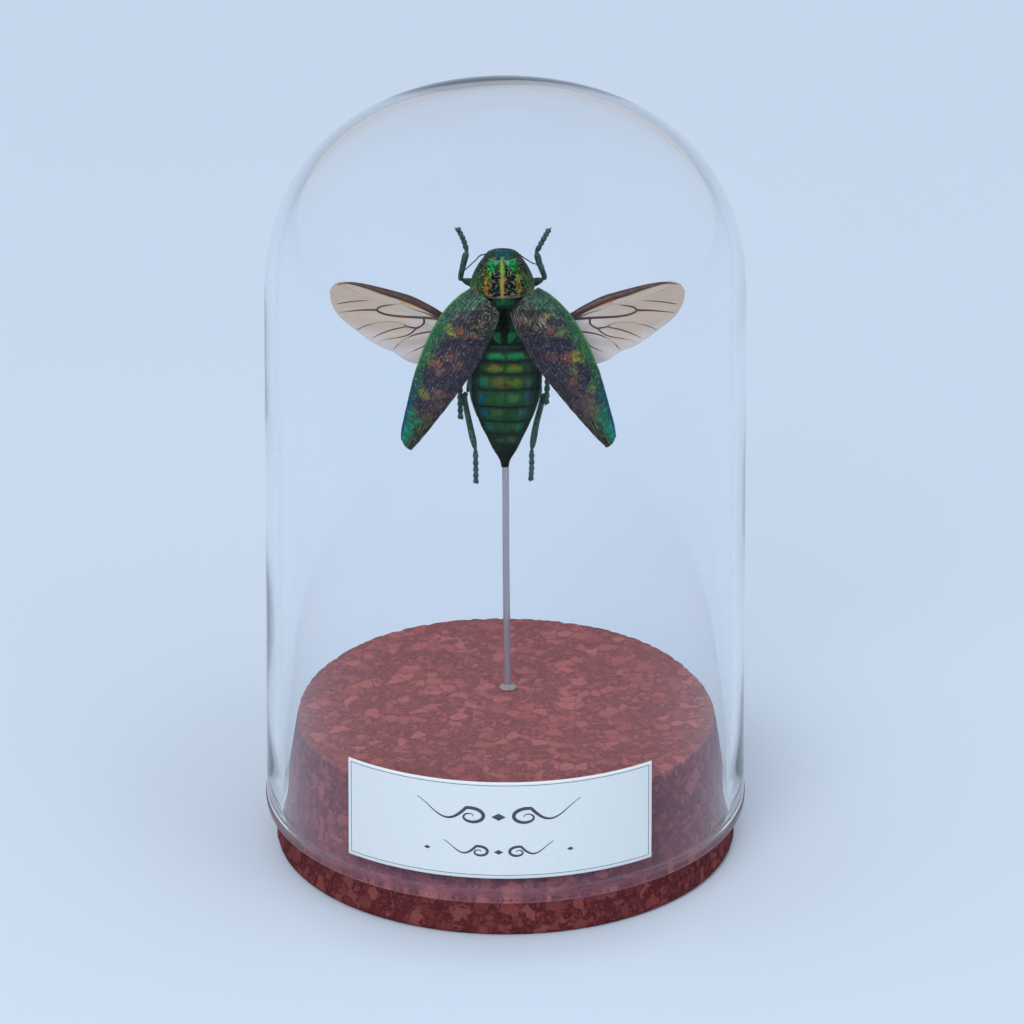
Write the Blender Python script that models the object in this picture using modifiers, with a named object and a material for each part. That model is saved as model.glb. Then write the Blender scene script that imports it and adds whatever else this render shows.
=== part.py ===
"""Insect in glass dome: a spread beetle on a clear rod, under a glass dome on a cork base.

Metres, +Z up. The origin is on the floor at the centre of the cork. The beetle stands head up
with its back towards -Y, so +X is its right-hand side as seen from the front of the case.
"""
import math

import bmesh
import bpy
from mathutils import Matrix, Vector

MM = 0.001
GAP = 0.3 * MM

# Cork base: a tapered stopper with a drilled socket.
CORK_HEIGHT = 23.6 * MM
CORK_TOP_RADIUS = 35.0 * MM
CORK_FOOT_RADIUS = 38.4 * MM
CORK_TOP_ROUND = 0.6 * MM
CORK_FOOT_ROUND = 1.0 * MM
CORK_STEPS = 48

# Glass dome: straight wall, superellipse crown, rounded rim.
DOME_RADIUS = 40.0 * MM
DOME_WALL = 2.15 * MM
DOME_SPRING = 97.6 * MM
DOME_TOP = 132.9 * MM
DOME_SQUARENESS = 2.53
RIM_BOTTOM = 6.5 * MM
RIM_HEIGHT = 1.9 * MM
RIM_BULGE = 0.15 * MM
DOME_STEPS = 48
CROWN_POINTS = 9

# Support rod and the glue at its foot.
ROD_RADIUS = 0.6 * MM
ROD_FOOT = Vector((0.5 * MM, 7.6 * MM, CORK_HEIGHT))
ROD_TOP = Vector((0.07 * MM, 7.0 * MM, 65.4 * MM))
SOCKET_DEPTH = 8.0 * MM
ROD_SIDES = 16
GLUE_RADIUS = 1.6 * MM
GLUE_HEIGHT = 0.7 * MM

# Label: paper strip bent round the outside of the glass.
LABEL_BOTTOM = 11.75 * MM
LABEL_HEIGHT = 17.8 * MM
LABEL_HALF_ANGLE = math.radians(38.5)
LABEL_TURN = math.radians(-1.6)
LABEL_THICKNESS = 0.2 * MM
LABEL_CLEARANCE = 0.25 * MM
LABEL_FACETS = 16

# Beetle: every body section is centred on this depth, with its back (-Y) and belly (+Y) depths.
BODY_DEPTH = 7.0 * MM
BODY_SIDES = 16

# Level sections of each body piece, in mm: height, half-width, depth to back, depth to belly.
HEAD_SHIFT = -0.55
HEAD_SECTIONS = (
    (104.0, 2.6, 1.9, 1.6), (104.4, 2.8, 1.9, 1.6), (104.8, 2.4, 1.5, 1.1), (105.0, 1.7, 1.0, 0.6),
)
PROTHORAX_SHIFT = -0.45
PROTHORAX_SECTIONS = (
    (97.3, 3.6, 2.7, 2.4), (97.7, 5.2, 3.8, 3.3), (98.5, 5.37, 4.1, 3.6),
    (99.4, 5.18, 4.1, 3.6), (100.5, 4.8, 3.9, 3.5), (102.1, 3.96, 3.5, 3.2),
    (103.1, 3.2, 2.9, 2.8), (103.7, 2.7, 2.4, 2.4),
)
THORAX_SHIFT = -0.1
THORAX_SECTIONS = (
    (88.2, 5.5, 1.9, 3.6), (88.8, 5.9, 2.2, 4.1), (91.5, 5.8, 2.3, 4.5),
    (94.5, 5.4, 2.2, 4.3), (96.4, 4.7, 2.0, 3.6), (97.0, 3.6, 1.5, 2.6),
)
ABDOMEN_SHIFT = 0.0
ABDOMEN_SECTIONS = (
    (66.1, 0.45, 0.45, 0.5), (67.1, 0.9, 0.7, 0.9), (70.0, 2.2, 1.1, 1.7),
    (73.6, 3.85, 1.5, 2.6), (78.0, 5.55, 1.8, 3.4), (83.0, 6.2, 1.9, 3.7),
    (86.6, 6.0, 1.9, 3.6), (87.6, 5.5, 1.7, 3.2),
)

# Elytra: inner and outer edges in the plate's own plane, mm from the hinge along and outwards.
ELYTRON_INNER = (
    (0.8, -2.7), (3.2, -3.15), (6.8, -3.2), (10.6, -3.15), (15.2, -2.4),
    (19.0, -1.6), (22.6, -0.8), (26.4, 0.0), (29.5, 0.7),
)
ELYTRON_OUTER = (
    (-1.2, 3.2), (1.1, 4.5), (5.2, 5.6), (10.2, 5.8), (15.4, 5.3),
    (18.6, 4.7), (21.6, 4.05), (26.2, 3.1), (28.7, 2.1),
)
ELYTRON_COLUMNS = 6
ELYTRON_CROWN = 1.7
ELYTRON_THICKNESS = 0.35 * MM
ELYTRON_HINGE = {
    "left": Vector((-3.3, 3.7, 96.7)) * MM,
    "right": Vector((3.2, 3.7, 96.7)) * MM,
}
ELYTRON_SPREAD = {"left": 24.5, "right": 27.0}
ELYTRON_LIFT = 5.0

# Hindwings: the outline in mm, outwards from the body and up from the floor.
HINDWING_OUTLINE = (
    (7.1, 92.4), (10.1, 93.5), (13.9, 95.6), (18.1, 97.2), (22.4, 98.4), (25.7, 99.0),
    (27.2, 99.1), (28.8, 98.5), (29.6, 97.2), (29.3, 95.2), (28.1, 92.9), (25.1, 90.2),
    (21.7, 87.8), (18.5, 86.3), (16.2, 84.8), (14.0, 84.2), (10.2, 84.8), (7.6, 87.4),
)
HINDWING_THICKNESS = 0.3 * MM
HINDWING_DEPTH = 5.5 * MM
HINDWING_SWEEP = 4.0
HINDWING_SHIFT = {"left": 0.0, "right": 0.5 * MM}

# Legs and antennae: points (x, y, z) in mm from the body outwards, with the radius there.
LEGS = {
    "foreleg_left": (
        (-2.4, 11.4, 97.9, 0.70), (-4.6, 10.5, 97.0, 0.75), (-7.2, 9.1, 98.2, 0.65),
        (-7.4, 8.8, 99.0, 0.40), (-6.9, 8.3, 101.8, 0.40), (-6.4, 8.0, 104.1, 0.50),
        (-7.0, 7.7, 106.4, 0.42), (-7.9, 7.5, 108.4, 0.42), (-8.5, 7.4, 108.7, 0.15),
    ),
    "foreleg_right": (
        (1.5, 11.4, 97.9, 0.70), (3.8, 10.5, 97.0, 0.75), (6.4, 9.1, 98.3, 0.65),
        (6.5, 8.8, 99.1, 0.40), (5.7, 8.3, 101.7, 0.40), (5.2, 8.0, 103.8, 0.50),
        (6.3, 7.7, 106.2, 0.42), (7.2, 7.5, 108.1, 0.42), (7.8, 7.4, 108.5, 0.15),
    ),
    "midleg_left": (
        (-2.5, 12.1, 93.6, 0.75), (-5.6, 12.0, 90.4, 0.90), (-8.3, 11.0, 87.0, 0.70),
        (-8.4, 10.7, 86.2, 0.40), (-7.9, 10.2, 82.2, 0.42), (-7.5, 9.8, 78.6, 0.48),
        (-7.45, 9.5, 75.8, 0.42), (-7.4, 9.2, 73.1, 0.40), (-7.0, 9.2, 72.7, 0.15),
    ),
    "midleg_right": (
        (2.3, 12.1, 93.8, 0.75), (5.4, 12.0, 91.4, 0.90), (7.9, 11.0, 89.0, 0.70),
        (8.1, 10.7, 88.2, 0.40), (7.6, 10.2, 84.8, 0.42), (7.2, 9.8, 81.4, 0.48),
        (7.0, 9.5, 78.4, 0.42), (6.85, 9.2, 75.7, 0.40), (6.5, 9.2, 75.3, 0.15),
    ),
    "hindleg_left": (
        (-2.2, 11.9, 87.0, 0.75), (-4.3, 11.4, 82.2, 0.95), (-6.3, 10.2, 77.0, 0.65),
        (-6.7, 9.9, 76.2, 0.40), (-5.9, 9.6, 71.8, 0.42), (-5.0, 9.3, 67.2, 0.52),
        (-5.0, 9.1, 64.0, 0.45), (-5.0, 9.0, 61.3, 0.42), (-4.7, 9.0, 60.9, 0.15),
    ),
    "hindleg_right": (
        (2.1, 11.9, 87.0, 0.75), (4.2, 11.4, 82.0, 0.95), (6.0, 10.2, 76.8, 0.65),
        (6.2, 9.9, 76.0, 0.40), (5.2, 9.6, 71.8, 0.42), (4.5, 9.3, 67.2, 0.52),
        (4.5, 9.1, 64.2, 0.45), (4.4, 9.0, 61.8, 0.42), (4.1, 9.0, 61.4, 0.15),
    ),
}
ANTENNAE = {
    "antenna_left": (
        (-2.9, 5.9, 105.3, 0.16), (-3.7, 6.6, 104.6, 0.14), (-4.7, 7.6, 102.8, 0.13),
        (-5.8, 8.9, 101.1, 0.13), (-6.7, 9.6, 99.9, 0.12),
    ),
    "antenna_right": (
        (1.75, 5.9, 105.45, 0.16), (2.6, 6.7, 104.4, 0.14), (3.7, 8.0, 102.5, 0.13),
        (5.0, 9.2, 101.2, 0.13), (6.4, 9.9, 100.5, 0.12),
    ),
}


def clear_scene():
    for item in list(bpy.data.objects):
        bpy.data.objects.remove(item, do_unlink=True)


def new_collection(name):
    group = bpy.data.collections.new(name)
    bpy.context.scene.collection.children.link(group)
    return group


def finish_material(name, colour, roughness, metallic=0.0, transmission=0.0):
    material = bpy.data.materials.new(name)
    material.use_nodes = True
    shader = material.node_tree.nodes["Principled BSDF"]
    shader.inputs["Base Color"].default_value = (*colour, 1.0)
    shader.inputs["Roughness"].default_value = roughness
    shader.inputs["Metallic"].default_value = metallic
    shader.inputs["Transmission Weight"].default_value = transmission
    return material


def add_mesh(name, form, group, material):
    """Turns a bmesh into a smooth-shaded object."""
    mesh = bpy.data.meshes.new(name)
    form.to_mesh(mesh)
    form.free()
    mesh.shade_smooth()
    item = bpy.data.objects.new(name, mesh)
    item.data.materials.append(material)
    group.objects.link(item)
    return item


def turned(name, profile, steps, group, material, closed=False):
    """A turned piece: the profile of (radius, height) points runs down its outer side."""
    form = bmesh.new()
    points = [form.verts.new((radius, 0.0, height)) for radius, height in profile]
    for upper, lower in zip(points, points[1:]):
        form.edges.new((upper, lower))
    if closed:
        form.edges.new((points[-1], points[0]))
    item = add_mesh(name, form, group, material)
    screw = item.modifiers.new("turn", "SCREW")
    screw.axis = "Z"
    screw.steps = steps
    screw.render_steps = steps
    screw.use_merge_vertices = True
    screw.merge_threshold = 0.00001
    return item


def corner_arc(centre, radius, start, end, count):
    """Points on a quarter or half round, from the start to the end angle in degrees."""
    angles = [math.radians(start + (end - start) * i / count) for i in range(count + 1)]
    return [(centre[0] + radius * math.cos(a), centre[1] + radius * math.sin(a)) for a in angles]


def crown_arc(radius, height, count):
    """Points of the dome's crown, from its top down to the straight wall."""
    points = []
    for i in range(count + 1):
        angle = math.pi / 2 * (1 - i / count)
        across = radius * math.cos(angle) ** (2 / DOME_SQUARENESS)
        up = height * math.sin(angle) ** (2 / DOME_SQUARENESS)
        points.append((across if i else 0.0, DOME_SPRING + up))
    return points


def build_cork(group, cutters):
    taper = math.degrees(math.atan2(CORK_FOOT_RADIUS - CORK_TOP_RADIUS, CORK_HEIGHT))
    top_centre = (CORK_TOP_RADIUS - CORK_TOP_ROUND, CORK_HEIGHT - CORK_TOP_ROUND)
    foot_centre = (CORK_FOOT_RADIUS - CORK_FOOT_ROUND, CORK_FOOT_ROUND)
    profile = [(0.0, CORK_HEIGHT)]
    profile += corner_arc(top_centre, CORK_TOP_ROUND, 90, taper, 2)
    profile += corner_arc(foot_centre, CORK_FOOT_ROUND, taper, -90, 3)
    profile += [(0.0, 0.0)]
    finish = finish_material("cork", (0.25, 0.06, 0.07), 0.9)
    cork = turned("cork_base", profile, CORK_STEPS, group, finish)
    direction = (ROD_TOP - ROD_FOOT).normalized()
    floor = ROD_FOOT - direction * (SOCKET_DEPTH + GAP)
    mouth = ROD_FOOT + direction * GAP
    cutter = bar("socket_cutter", floor, mouth, ROD_RADIUS + GAP, cutters, finish)
    cutter.hide_render = True
    cutter.display_type = "WIRE"
    cut = cork.modifiers.new("socket", "BOOLEAN")
    cut.operation = "DIFFERENCE"
    cut.solver = "EXACT"
    cut.object = cutter


def bar(name, start, end, radius, group, material):
    """A round bar between two points."""
    form = bmesh.new()
    bmesh.ops.create_cone(
        form, cap_ends=True, segments=ROD_SIDES, radius1=radius, radius2=radius,
        depth=(end - start).length,
    )
    item = add_mesh(name, form, group, material)
    item.data.set_sharp_from_angle(angle=math.radians(40))
    item.location = (start + end) / 2
    item.rotation_euler = (end - start).to_track_quat("Z", "Y").to_euler()
    return item


def build_dome(group):
    inner_radius = DOME_RADIUS - DOME_WALL
    rim_radius = DOME_RADIUS + RIM_BULGE
    rim_top = RIM_BOTTOM + RIM_HEIGHT
    edge_round = (rim_radius - inner_radius) / 2
    edge_centre = (inner_radius + edge_round, RIM_BOTTOM + edge_round)
    profile = crown_arc(DOME_RADIUS, DOME_TOP - DOME_SPRING, CROWN_POINTS)
    profile += [(DOME_RADIUS, rim_top)]
    profile += corner_arc(edge_centre, edge_round, 0, -180, 6)
    inner_crown = crown_arc(inner_radius, DOME_TOP - DOME_WALL - DOME_SPRING, CROWN_POINTS)
    profile += reversed(inner_crown)
    glass = finish_material("glass", (0.9, 0.95, 1.0), 0.02, transmission=1.0)
    turned("glass_dome", profile, DOME_STEPS, group, glass)


def build_rod(group):
    clear = finish_material("clear_rod", (0.55, 0.55, 0.62), 0.1, transmission=0.8)
    direction = (ROD_TOP - ROD_FOOT).normalized()
    bar("support_rod", ROD_FOOT - direction * SOCKET_DEPTH, ROD_TOP, ROD_RADIUS, group, clear)


def build_glue(group):
    bore = ROD_RADIUS + GAP
    profile = [
        (bore, GLUE_HEIGHT), (bore + (GLUE_RADIUS - bore) * 0.5, GLUE_HEIGHT * 0.8),
        (GLUE_RADIUS, GLUE_HEIGHT * 0.25), (GLUE_RADIUS, 0.0), (bore, 0.0),
    ]
    clear = finish_material("glue", (0.6, 0.6, 0.65), 0.2, transmission=0.5)
    glue = turned("glue_bead", profile, ROD_SIDES, group, clear, closed=True)
    glue.location = ROD_FOOT + Vector((0.0, 0.0, GAP))


def build_label(group):
    form = bmesh.new()
    bmesh.ops.create_grid(form, x_segments=LABEL_FACETS, y_segments=1, size=1.0)
    radius = DOME_RADIUS + LABEL_CLEARANCE
    for vert in form.verts:
        angle = LABEL_TURN + vert.co.x * LABEL_HALF_ANGLE
        height = LABEL_BOTTOM + (vert.co.y + 1) / 2 * LABEL_HEIGHT
        vert.co = (radius * math.sin(angle), -radius * math.cos(angle), height)
    paper = finish_material("paper", (0.75, 0.8, 0.85), 0.7)
    thicken(add_mesh("label", form, group, paper), LABEL_THICKNESS)


def thicken(item, thickness):
    """Gives an open surface its thickness, outwards along its normals."""
    wall = item.modifiers.new("wall", "SOLIDIFY")
    wall.thickness = thickness
    wall.offset = 1.0
    wall.use_even_offset = True


def build_body(name, sections, shift, group, material):
    """A closed body lofted through level oval sections."""
    form = bmesh.new()
    rings = []
    for height, half_width, back, belly in sections:
        ring = []
        for i in range(BODY_SIDES):
            angle = 2 * math.pi * i / BODY_SIDES
            across = shift + half_width * math.cos(angle)
            depth = math.sin(angle) * (belly if math.sin(angle) > 0 else back)
            ring.append(form.verts.new((across * MM, BODY_DEPTH + depth * MM, height * MM)))
        rings.append(ring)
    for lower, upper in zip(rings, rings[1:]):
        for i in range(BODY_SIDES):
            j = (i + 1) % BODY_SIDES
            form.faces.new((lower[i], lower[j], upper[j], upper[i]))
    form.faces.new(list(reversed(rings[0])))
    form.faces.new(rings[-1])
    return add_mesh(name, form, group, material)


def build_elytron(side, group, material):
    """A wing case: a domed plate between its inner and outer edges, swung out and lifted."""
    outwards = -1 if side == "left" else 1
    rows = len(ELYTRON_INNER) - 1
    form = bmesh.new()
    bmesh.ops.create_grid(form, x_segments=ELYTRON_COLUMNS, y_segments=rows, size=1.0)
    for vert in form.verts:
        row = round((vert.co.y + 1) / 2 * rows)
        column = (vert.co.x + 1) / 2
        inner = Vector(ELYTRON_INNER[row])
        outer = Vector(ELYTRON_OUTER[row])
        along, across = inner.lerp(outer, column)
        arch = (1 - (2 * column - 1) ** 2) * (0.35 + 0.65 * math.sin(math.pi * row / rows))
        vert.co = Vector((outwards * across, -ELYTRON_CROWN * arch, -along)) * MM
    bmesh.ops.recalc_face_normals(form, faces=form.faces)
    if sum(face.normal.y for face in form.faces) > 0:
        bmesh.ops.reverse_faces(form, faces=form.faces)
    item = add_mesh("elytron_" + side, form, group, material)
    thicken(item, ELYTRON_THICKNESS)
    spread = Matrix.Rotation(math.radians(-outwards * ELYTRON_SPREAD[side]), 4, "Y")
    lift = Matrix.Rotation(math.radians(-ELYTRON_LIFT), 4, "X")
    item.matrix_world = Matrix.Translation(ELYTRON_HINGE[side]) @ lift @ spread


def build_hindwing(side, group, material):
    """A flying wing: a flat plate cut to the wing's outline, swept back a little."""
    outwards = -1 if side == "left" else 1
    root = HINDWING_OUTLINE[0]
    curve = bpy.data.curves.new("hindwing_" + side, "CURVE")
    curve.dimensions = "2D"
    curve.fill_mode = "BOTH"
    curve.extrude = HINDWING_THICKNESS / 2
    outline = curve.splines.new("POLY")
    outline.points.add(len(HINDWING_OUTLINE) - 1)
    outline.use_cyclic_u = True
    for point, (across, up) in zip(outline.points, HINDWING_OUTLINE):
        point.co = (outwards * (across - root[0]) * MM, (up - root[1]) * MM, 0.0, 1.0)
    curve.materials.append(material)
    item = bpy.data.objects.new("hindwing_" + side, curve)
    group.objects.link(item)
    upright = Matrix.Rotation(math.radians(90), 4, "X")
    sweep = Matrix.Rotation(math.radians(outwards * HINDWING_SWEEP), 4, "Z")
    root_across = outwards * (root[0] * MM + HINDWING_SHIFT[side])
    place = Vector((root_across, HINDWING_DEPTH, root[1] * MM))
    item.matrix_world = Matrix.Translation(place) @ sweep @ upright


def build_limb(name, joints, group, material):
    """A leg or antenna: a tube through its joints, as thick at each as the limb is there."""
    curve = bpy.data.curves.new(name, "CURVE")
    curve.dimensions = "3D"
    curve.bevel_depth = MM
    curve.bevel_resolution = 2
    curve.use_fill_caps = True
    path = curve.splines.new("POLY")
    path.points.add(len(joints) - 1)
    for point, (x, y, z, radius) in zip(path.points, joints):
        point.co = (x * MM, y * MM, z * MM, 1.0)
        point.radius = radius
    curve.materials.append(material)
    item = bpy.data.objects.new(name, curve)
    group.objects.link(item)


def build_beetle(group):
    face = finish_material("face", (0.02, 0.15, 0.2), 0.3, 0.6)
    shield = finish_material("shield", (0.05, 0.16, 0.06), 0.3, 0.6)
    chest = finish_material("chest", (0.02, 0.1, 0.07), 0.35, 0.6)
    tergites = finish_material("tergites", (0.03, 0.14, 0.07), 0.35, 0.6)
    build_body("head", HEAD_SECTIONS, HEAD_SHIFT, group, face)
    build_body("prothorax", PROTHORAX_SECTIONS, PROTHORAX_SHIFT, group, shield)
    build_body("thorax", THORAX_SECTIONS, THORAX_SHIFT, group, chest)
    build_body("abdomen", ABDOMEN_SECTIONS, ABDOMEN_SHIFT, group, tergites)
    for side in ("left", "right"):
        wing_case = finish_material("wing_case_" + side, (0.07, 0.08, 0.08), 0.35, 0.6)
        build_elytron(side, group, wing_case)
        membrane = finish_material("membrane_" + side, (0.5, 0.42, 0.36), 0.4)
        build_hindwing(side, group, membrane)
    for name, joints in {**LEGS, **ANTENNAE}.items():
        build_limb(name, joints, group, finish_material(name, (0.04, 0.09, 0.07), 0.4, 0.4))


def build():
    clear_scene()
    group = new_collection("insect_in_glass_dome")
    cutters = new_collection("cutters")
    build_cork(group, cutters)
    build_dome(group)
    build_rod(group)
    build_glue(group)
    build_label(group)
    build_beetle(group)


build()
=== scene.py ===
"""Insect in glass dome, its looks: a spread jewel beetle on a clear rod in a corked glass case.

Metres, +Z up. The floor is at z = 0, the case stands on the origin and the beetle's back faces
-Y. Tables of sizes are in millimetres, and "left" and "right" are as seen from the front.
"""
import math

import bpy
import numpy as np
from mathutils import Matrix, Vector, noise


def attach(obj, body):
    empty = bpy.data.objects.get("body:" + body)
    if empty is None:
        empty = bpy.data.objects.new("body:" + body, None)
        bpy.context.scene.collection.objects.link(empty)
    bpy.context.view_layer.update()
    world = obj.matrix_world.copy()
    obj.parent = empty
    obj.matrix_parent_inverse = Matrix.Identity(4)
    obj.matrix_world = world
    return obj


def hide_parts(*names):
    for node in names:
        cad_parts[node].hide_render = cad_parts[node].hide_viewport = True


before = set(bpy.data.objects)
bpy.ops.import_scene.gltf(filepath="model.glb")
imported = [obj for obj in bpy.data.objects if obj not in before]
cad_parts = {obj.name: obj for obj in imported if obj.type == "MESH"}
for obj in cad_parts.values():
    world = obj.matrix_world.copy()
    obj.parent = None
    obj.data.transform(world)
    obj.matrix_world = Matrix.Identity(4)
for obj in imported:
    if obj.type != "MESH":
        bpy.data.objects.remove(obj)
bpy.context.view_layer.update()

# ------------------------------------------------------------------------------- Cork base
# A tapered stopper of agglomerate cork: coarse and fine granules pressed together with glue and
# dyed dark red through. It is turned to shape, so cut granules show on every side of it.

MM = 0.001
CORK_HEIGHT = 23.6
CORK_TOP_RADIUS = 35.0
CORK_FOOT_RADIUS = 38.4
CORK_SIDES = 320
CORK_EDGE_ROUND = 0.5
GLASS_FOOT = 6.5


class Signal:
    """A value on its way between the nodes of a finish. Sums on it add Math nodes."""

    def __init__(self, finish, socket):
        self.finish = finish
        self.socket = socket

    def sum(self, operation, first, second):
        return self.finish.node("ShaderNodeMath", {"operation": operation}, {0: first, 1: second})

    def __add__(self, other):
        return self.sum("ADD", self, other)

    def __sub__(self, other):
        return self.sum("SUBTRACT", self, other)

    def __rsub__(self, other):
        return self.sum("SUBTRACT", other, self)

    def __mul__(self, other):
        return self.sum("MULTIPLY", self, other)

    __radd__ = __add__
    __rmul__ = __mul__


class Finish:
    """A procedural finish: a Principled shader and the nodes that feed it."""

    def __init__(self, name, **constants):
        self.material = bpy.data.materials.new(name)
        self.material.use_nodes = True
        self.tree = self.material.node_tree
        self.shader = self.tree.nodes["Principled BSDF"]
        self.colour = None
        for socket, value in constants.items():
            self.shader.inputs[socket.replace("_", " ")].default_value = value

    def node(self, kind, settings, inputs, output=0):
        """Adds a node: its settings first, then the values or links of its sockets."""
        node = self.tree.nodes.new(kind)
        for name, value in settings.items():
            if name == "stops":
                self.set_stops(node.color_ramp, value)
            else:
                setattr(node, name, value)
        for key, value in inputs.items():
            self.feed(node.inputs[key], value)
        return Signal(self, node.outputs[output])

    def feed(self, socket, value):
        if isinstance(value, Signal):
            self.tree.links.new(value.socket, socket)
        else:
            socket.default_value = value

    def set_stops(self, ramp, stops):
        while len(ramp.elements) < len(stops):
            ramp.elements.new(1.0)
        for element, (position, colour) in zip(ramp.elements, stops):
            element.position = position
            element.color = colour

    def show(self, **channels):
        """Feeds the shader's channels that change over the surface."""
        for socket, value in channels.items():
            self.feed(self.shader.inputs[socket.replace("_", " ")], value)

    def place(self):
        """The place in the case, in millimetres."""
        spot = self.node("ShaderNodeTexCoord", {}, {}, "Object")
        return self.node("ShaderNodeVectorMath", {"operation": "SCALE"}, {0: spot, 3: 1000.0})

    def kept(self, name, output="Fac"):
        """A value kept at the piece's points."""
        return self.node("ShaderNodeAttribute", {"attribute_name": name}, {}, output)

    def vector(self, operation, *terms):
        output = "Value" if operation == "LENGTH" else "Vector"
        settings = {"operation": operation}
        return self.node("ShaderNodeVectorMath", settings, dict(enumerate(terms)), output)

    def grain(self, spot, scale, detail=2.0, output=0):
        inputs = {"Vector": spot, "Scale": scale, "Detail": detail}
        return self.node("ShaderNodeTexNoise", {}, inputs, output)

    def cells(self, spot, scale, output="Distance", feature="F1"):
        inputs = {"Vector": spot, "Scale": scale}
        return self.node("ShaderNodeTexVoronoi", {"feature": feature}, inputs, output)

    def wander(self, spot, scale, reach):
        """The spot, moved about by up to half the reach, so that cells lose their straight edges."""
        stray = self.grain(spot, scale, 2.0, "Color")
        stray = self.vector("SUBTRACT", stray, (0.5, 0.5, 0.5))
        return self.vector("MULTIPLY_ADD", stray, (reach, reach, reach), spot)

    def rise(self, value, low, high):
        """0 at low, 1 at high, and a smooth rise between."""
        settings = {"interpolation_type": "SMOOTHSTEP"}
        return self.node("ShaderNodeMapRange", settings, {0: value, 1: low, 2: high})

    def blend(self, factor, first, second):
        return self.node("ShaderNodeMix", {"data_type": "RGBA"}, {0: factor, 6: first, 7: second}, 2)

    def paint(self, mask, colour):
        """Lays a colour over what is there, as far as the mask goes."""
        self.colour = self.blend(mask, self.colour, colour)

    def ramp(self, value, *stops):
        return self.node("ShaderNodeValToRGB", {"stops": stops}, {0: value}, "Color")

    def along(self, spot, axis):
        """How far a spot lies along an axis: X, Y or Z."""
        return self.node("ShaderNodeSeparateXYZ", {}, {0: spot}, axis)

    def absolute(self, value):
        return self.node("ShaderNodeMath", {"operation": "ABSOLUTE"}, {0: value})

    def part(self, colour, channel):
        """One channel of a colour, as a plain value."""
        return self.node("ShaderNodeSeparateColor", {}, {0: colour}, channel)

    def relief(self, height, depth_mm):
        """Fine relief, as a normal."""
        return self.node("ShaderNodeBump", {}, {"Height": height, "Distance": depth_mm * MM}, "Normal")


def dye(red, green, blue):
    """A display colour, 0 to 255 a channel, as a shader's colour."""
    return (*(((c / 255 + 0.055) / 1.055) ** 2.4 for c in (red, green, blue)), 1.0)


def grid_faces(rows, columns, ring=False):
    """Quads between the neighbouring points of a grid. A ring's last column joins its first."""
    faces = []
    for row in range(rows - 1):
        for column in range(columns if ring else columns - 1):
            corner = row * columns + column
            beside = row * columns + (column + 1) % columns
            faces.append((corner, beside, beside + columns, corner + columns))
    return faces


def closed_skin(rings):
    """Points and faces of a closed surface through rings of points, with a pole at each end."""
    rows, columns = rings.shape[:2]
    points = np.vstack([rings.reshape(-1, 3), [rings[0].mean(0)], [rings[-1].mean(0)]])
    faces = grid_faces(rows, columns, ring=True)
    top = (rows - 1) * columns
    for column in range(columns):
        beside = (column + 1) % columns
        faces.append((rows * columns, beside, column))
        faces.append((rows * columns + 1, top + column, top + beside))
    return points, faces


def grains(points, size, seed=0.0):
    """Smooth random values at points, from -1 to 1, that change over about the size given."""
    offset = Vector((seed, 2 * seed, 3 * seed))
    return np.array([noise.noise(Vector(point) / size + offset) for point in points])


def cracks(points, size, seed=0.0):
    """How far points are from the edges of random cells, as a share of the cells' size."""
    offset = Vector((seed, 2 * seed, 3 * seed))
    nearest = (noise.voronoi(Vector(point) / size + offset)[0] for point in points)
    return np.array([distances[1] - distances[0] for distances in nearest])


def smooth(values, low, high):
    """0 at low, 1 at high, and a smooth rise between."""
    share = np.clip((values - low) / (high - low), 0.0, 1.0)
    return share * share * (3 - 2 * share)


def add_piece(name, points, faces, finish, **notes):
    """A smooth-shaded piece from points in millimetres. Notes are values kept at its points."""
    mesh = bpy.data.meshes.new(name)
    mesh.from_pydata([tuple(point) for point in np.asarray(points) * MM], [], faces)
    for key, values in notes.items():
        values = np.asarray(values, np.float32)
        kind, field = ("FLOAT_VECTOR", "vector") if values.ndim == 2 else ("FLOAT", "value")
        mesh.attributes.new(key, kind, "POINT").data.foreach_set(field, values.ravel())
    mesh.shade_smooth()
    mesh.materials.append(finish.material)
    piece = bpy.data.objects.new(name, mesh)
    bpy.context.scene.collection.objects.link(piece)
    return piece


def fit(piece, node):
    """Fits a finished piece into the case, in place of its CAD node."""
    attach(piece, "root")
    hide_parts(node)


def arc(centre, radius, start, end, count):
    """Points (radius, height) on a round, from the start to the end angle in degrees."""
    angles = np.radians(np.linspace(start, end, count))
    return np.column_stack([centre[0] + radius * np.cos(angles), centre[1] + radius * np.sin(angles)])


def unit(vectors):
    """The vectors, each one long."""
    return vectors / np.linalg.norm(vectors, axis=-1, keepdims=True)


def turned(profile, sides):
    """Rings of points round the Z axis, and the profile's outward normals at each ring."""
    slopes = unit(np.gradient(profile, axis=0))
    angles = 2 * np.pi * np.arange(sides) / sides
    spokes = np.stack([np.cos(angles), np.sin(angles)], axis=1)

    def spin(pairs):
        flat = pairs[:, None, 0, None] * spokes[None]
        upright = np.repeat(pairs[:, 1, None, None], sides, axis=1)
        return np.concatenate([flat, upright], axis=2)

    return spin(profile), spin(np.column_stack([slopes[:, 1], -slopes[:, 0]]))


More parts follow.
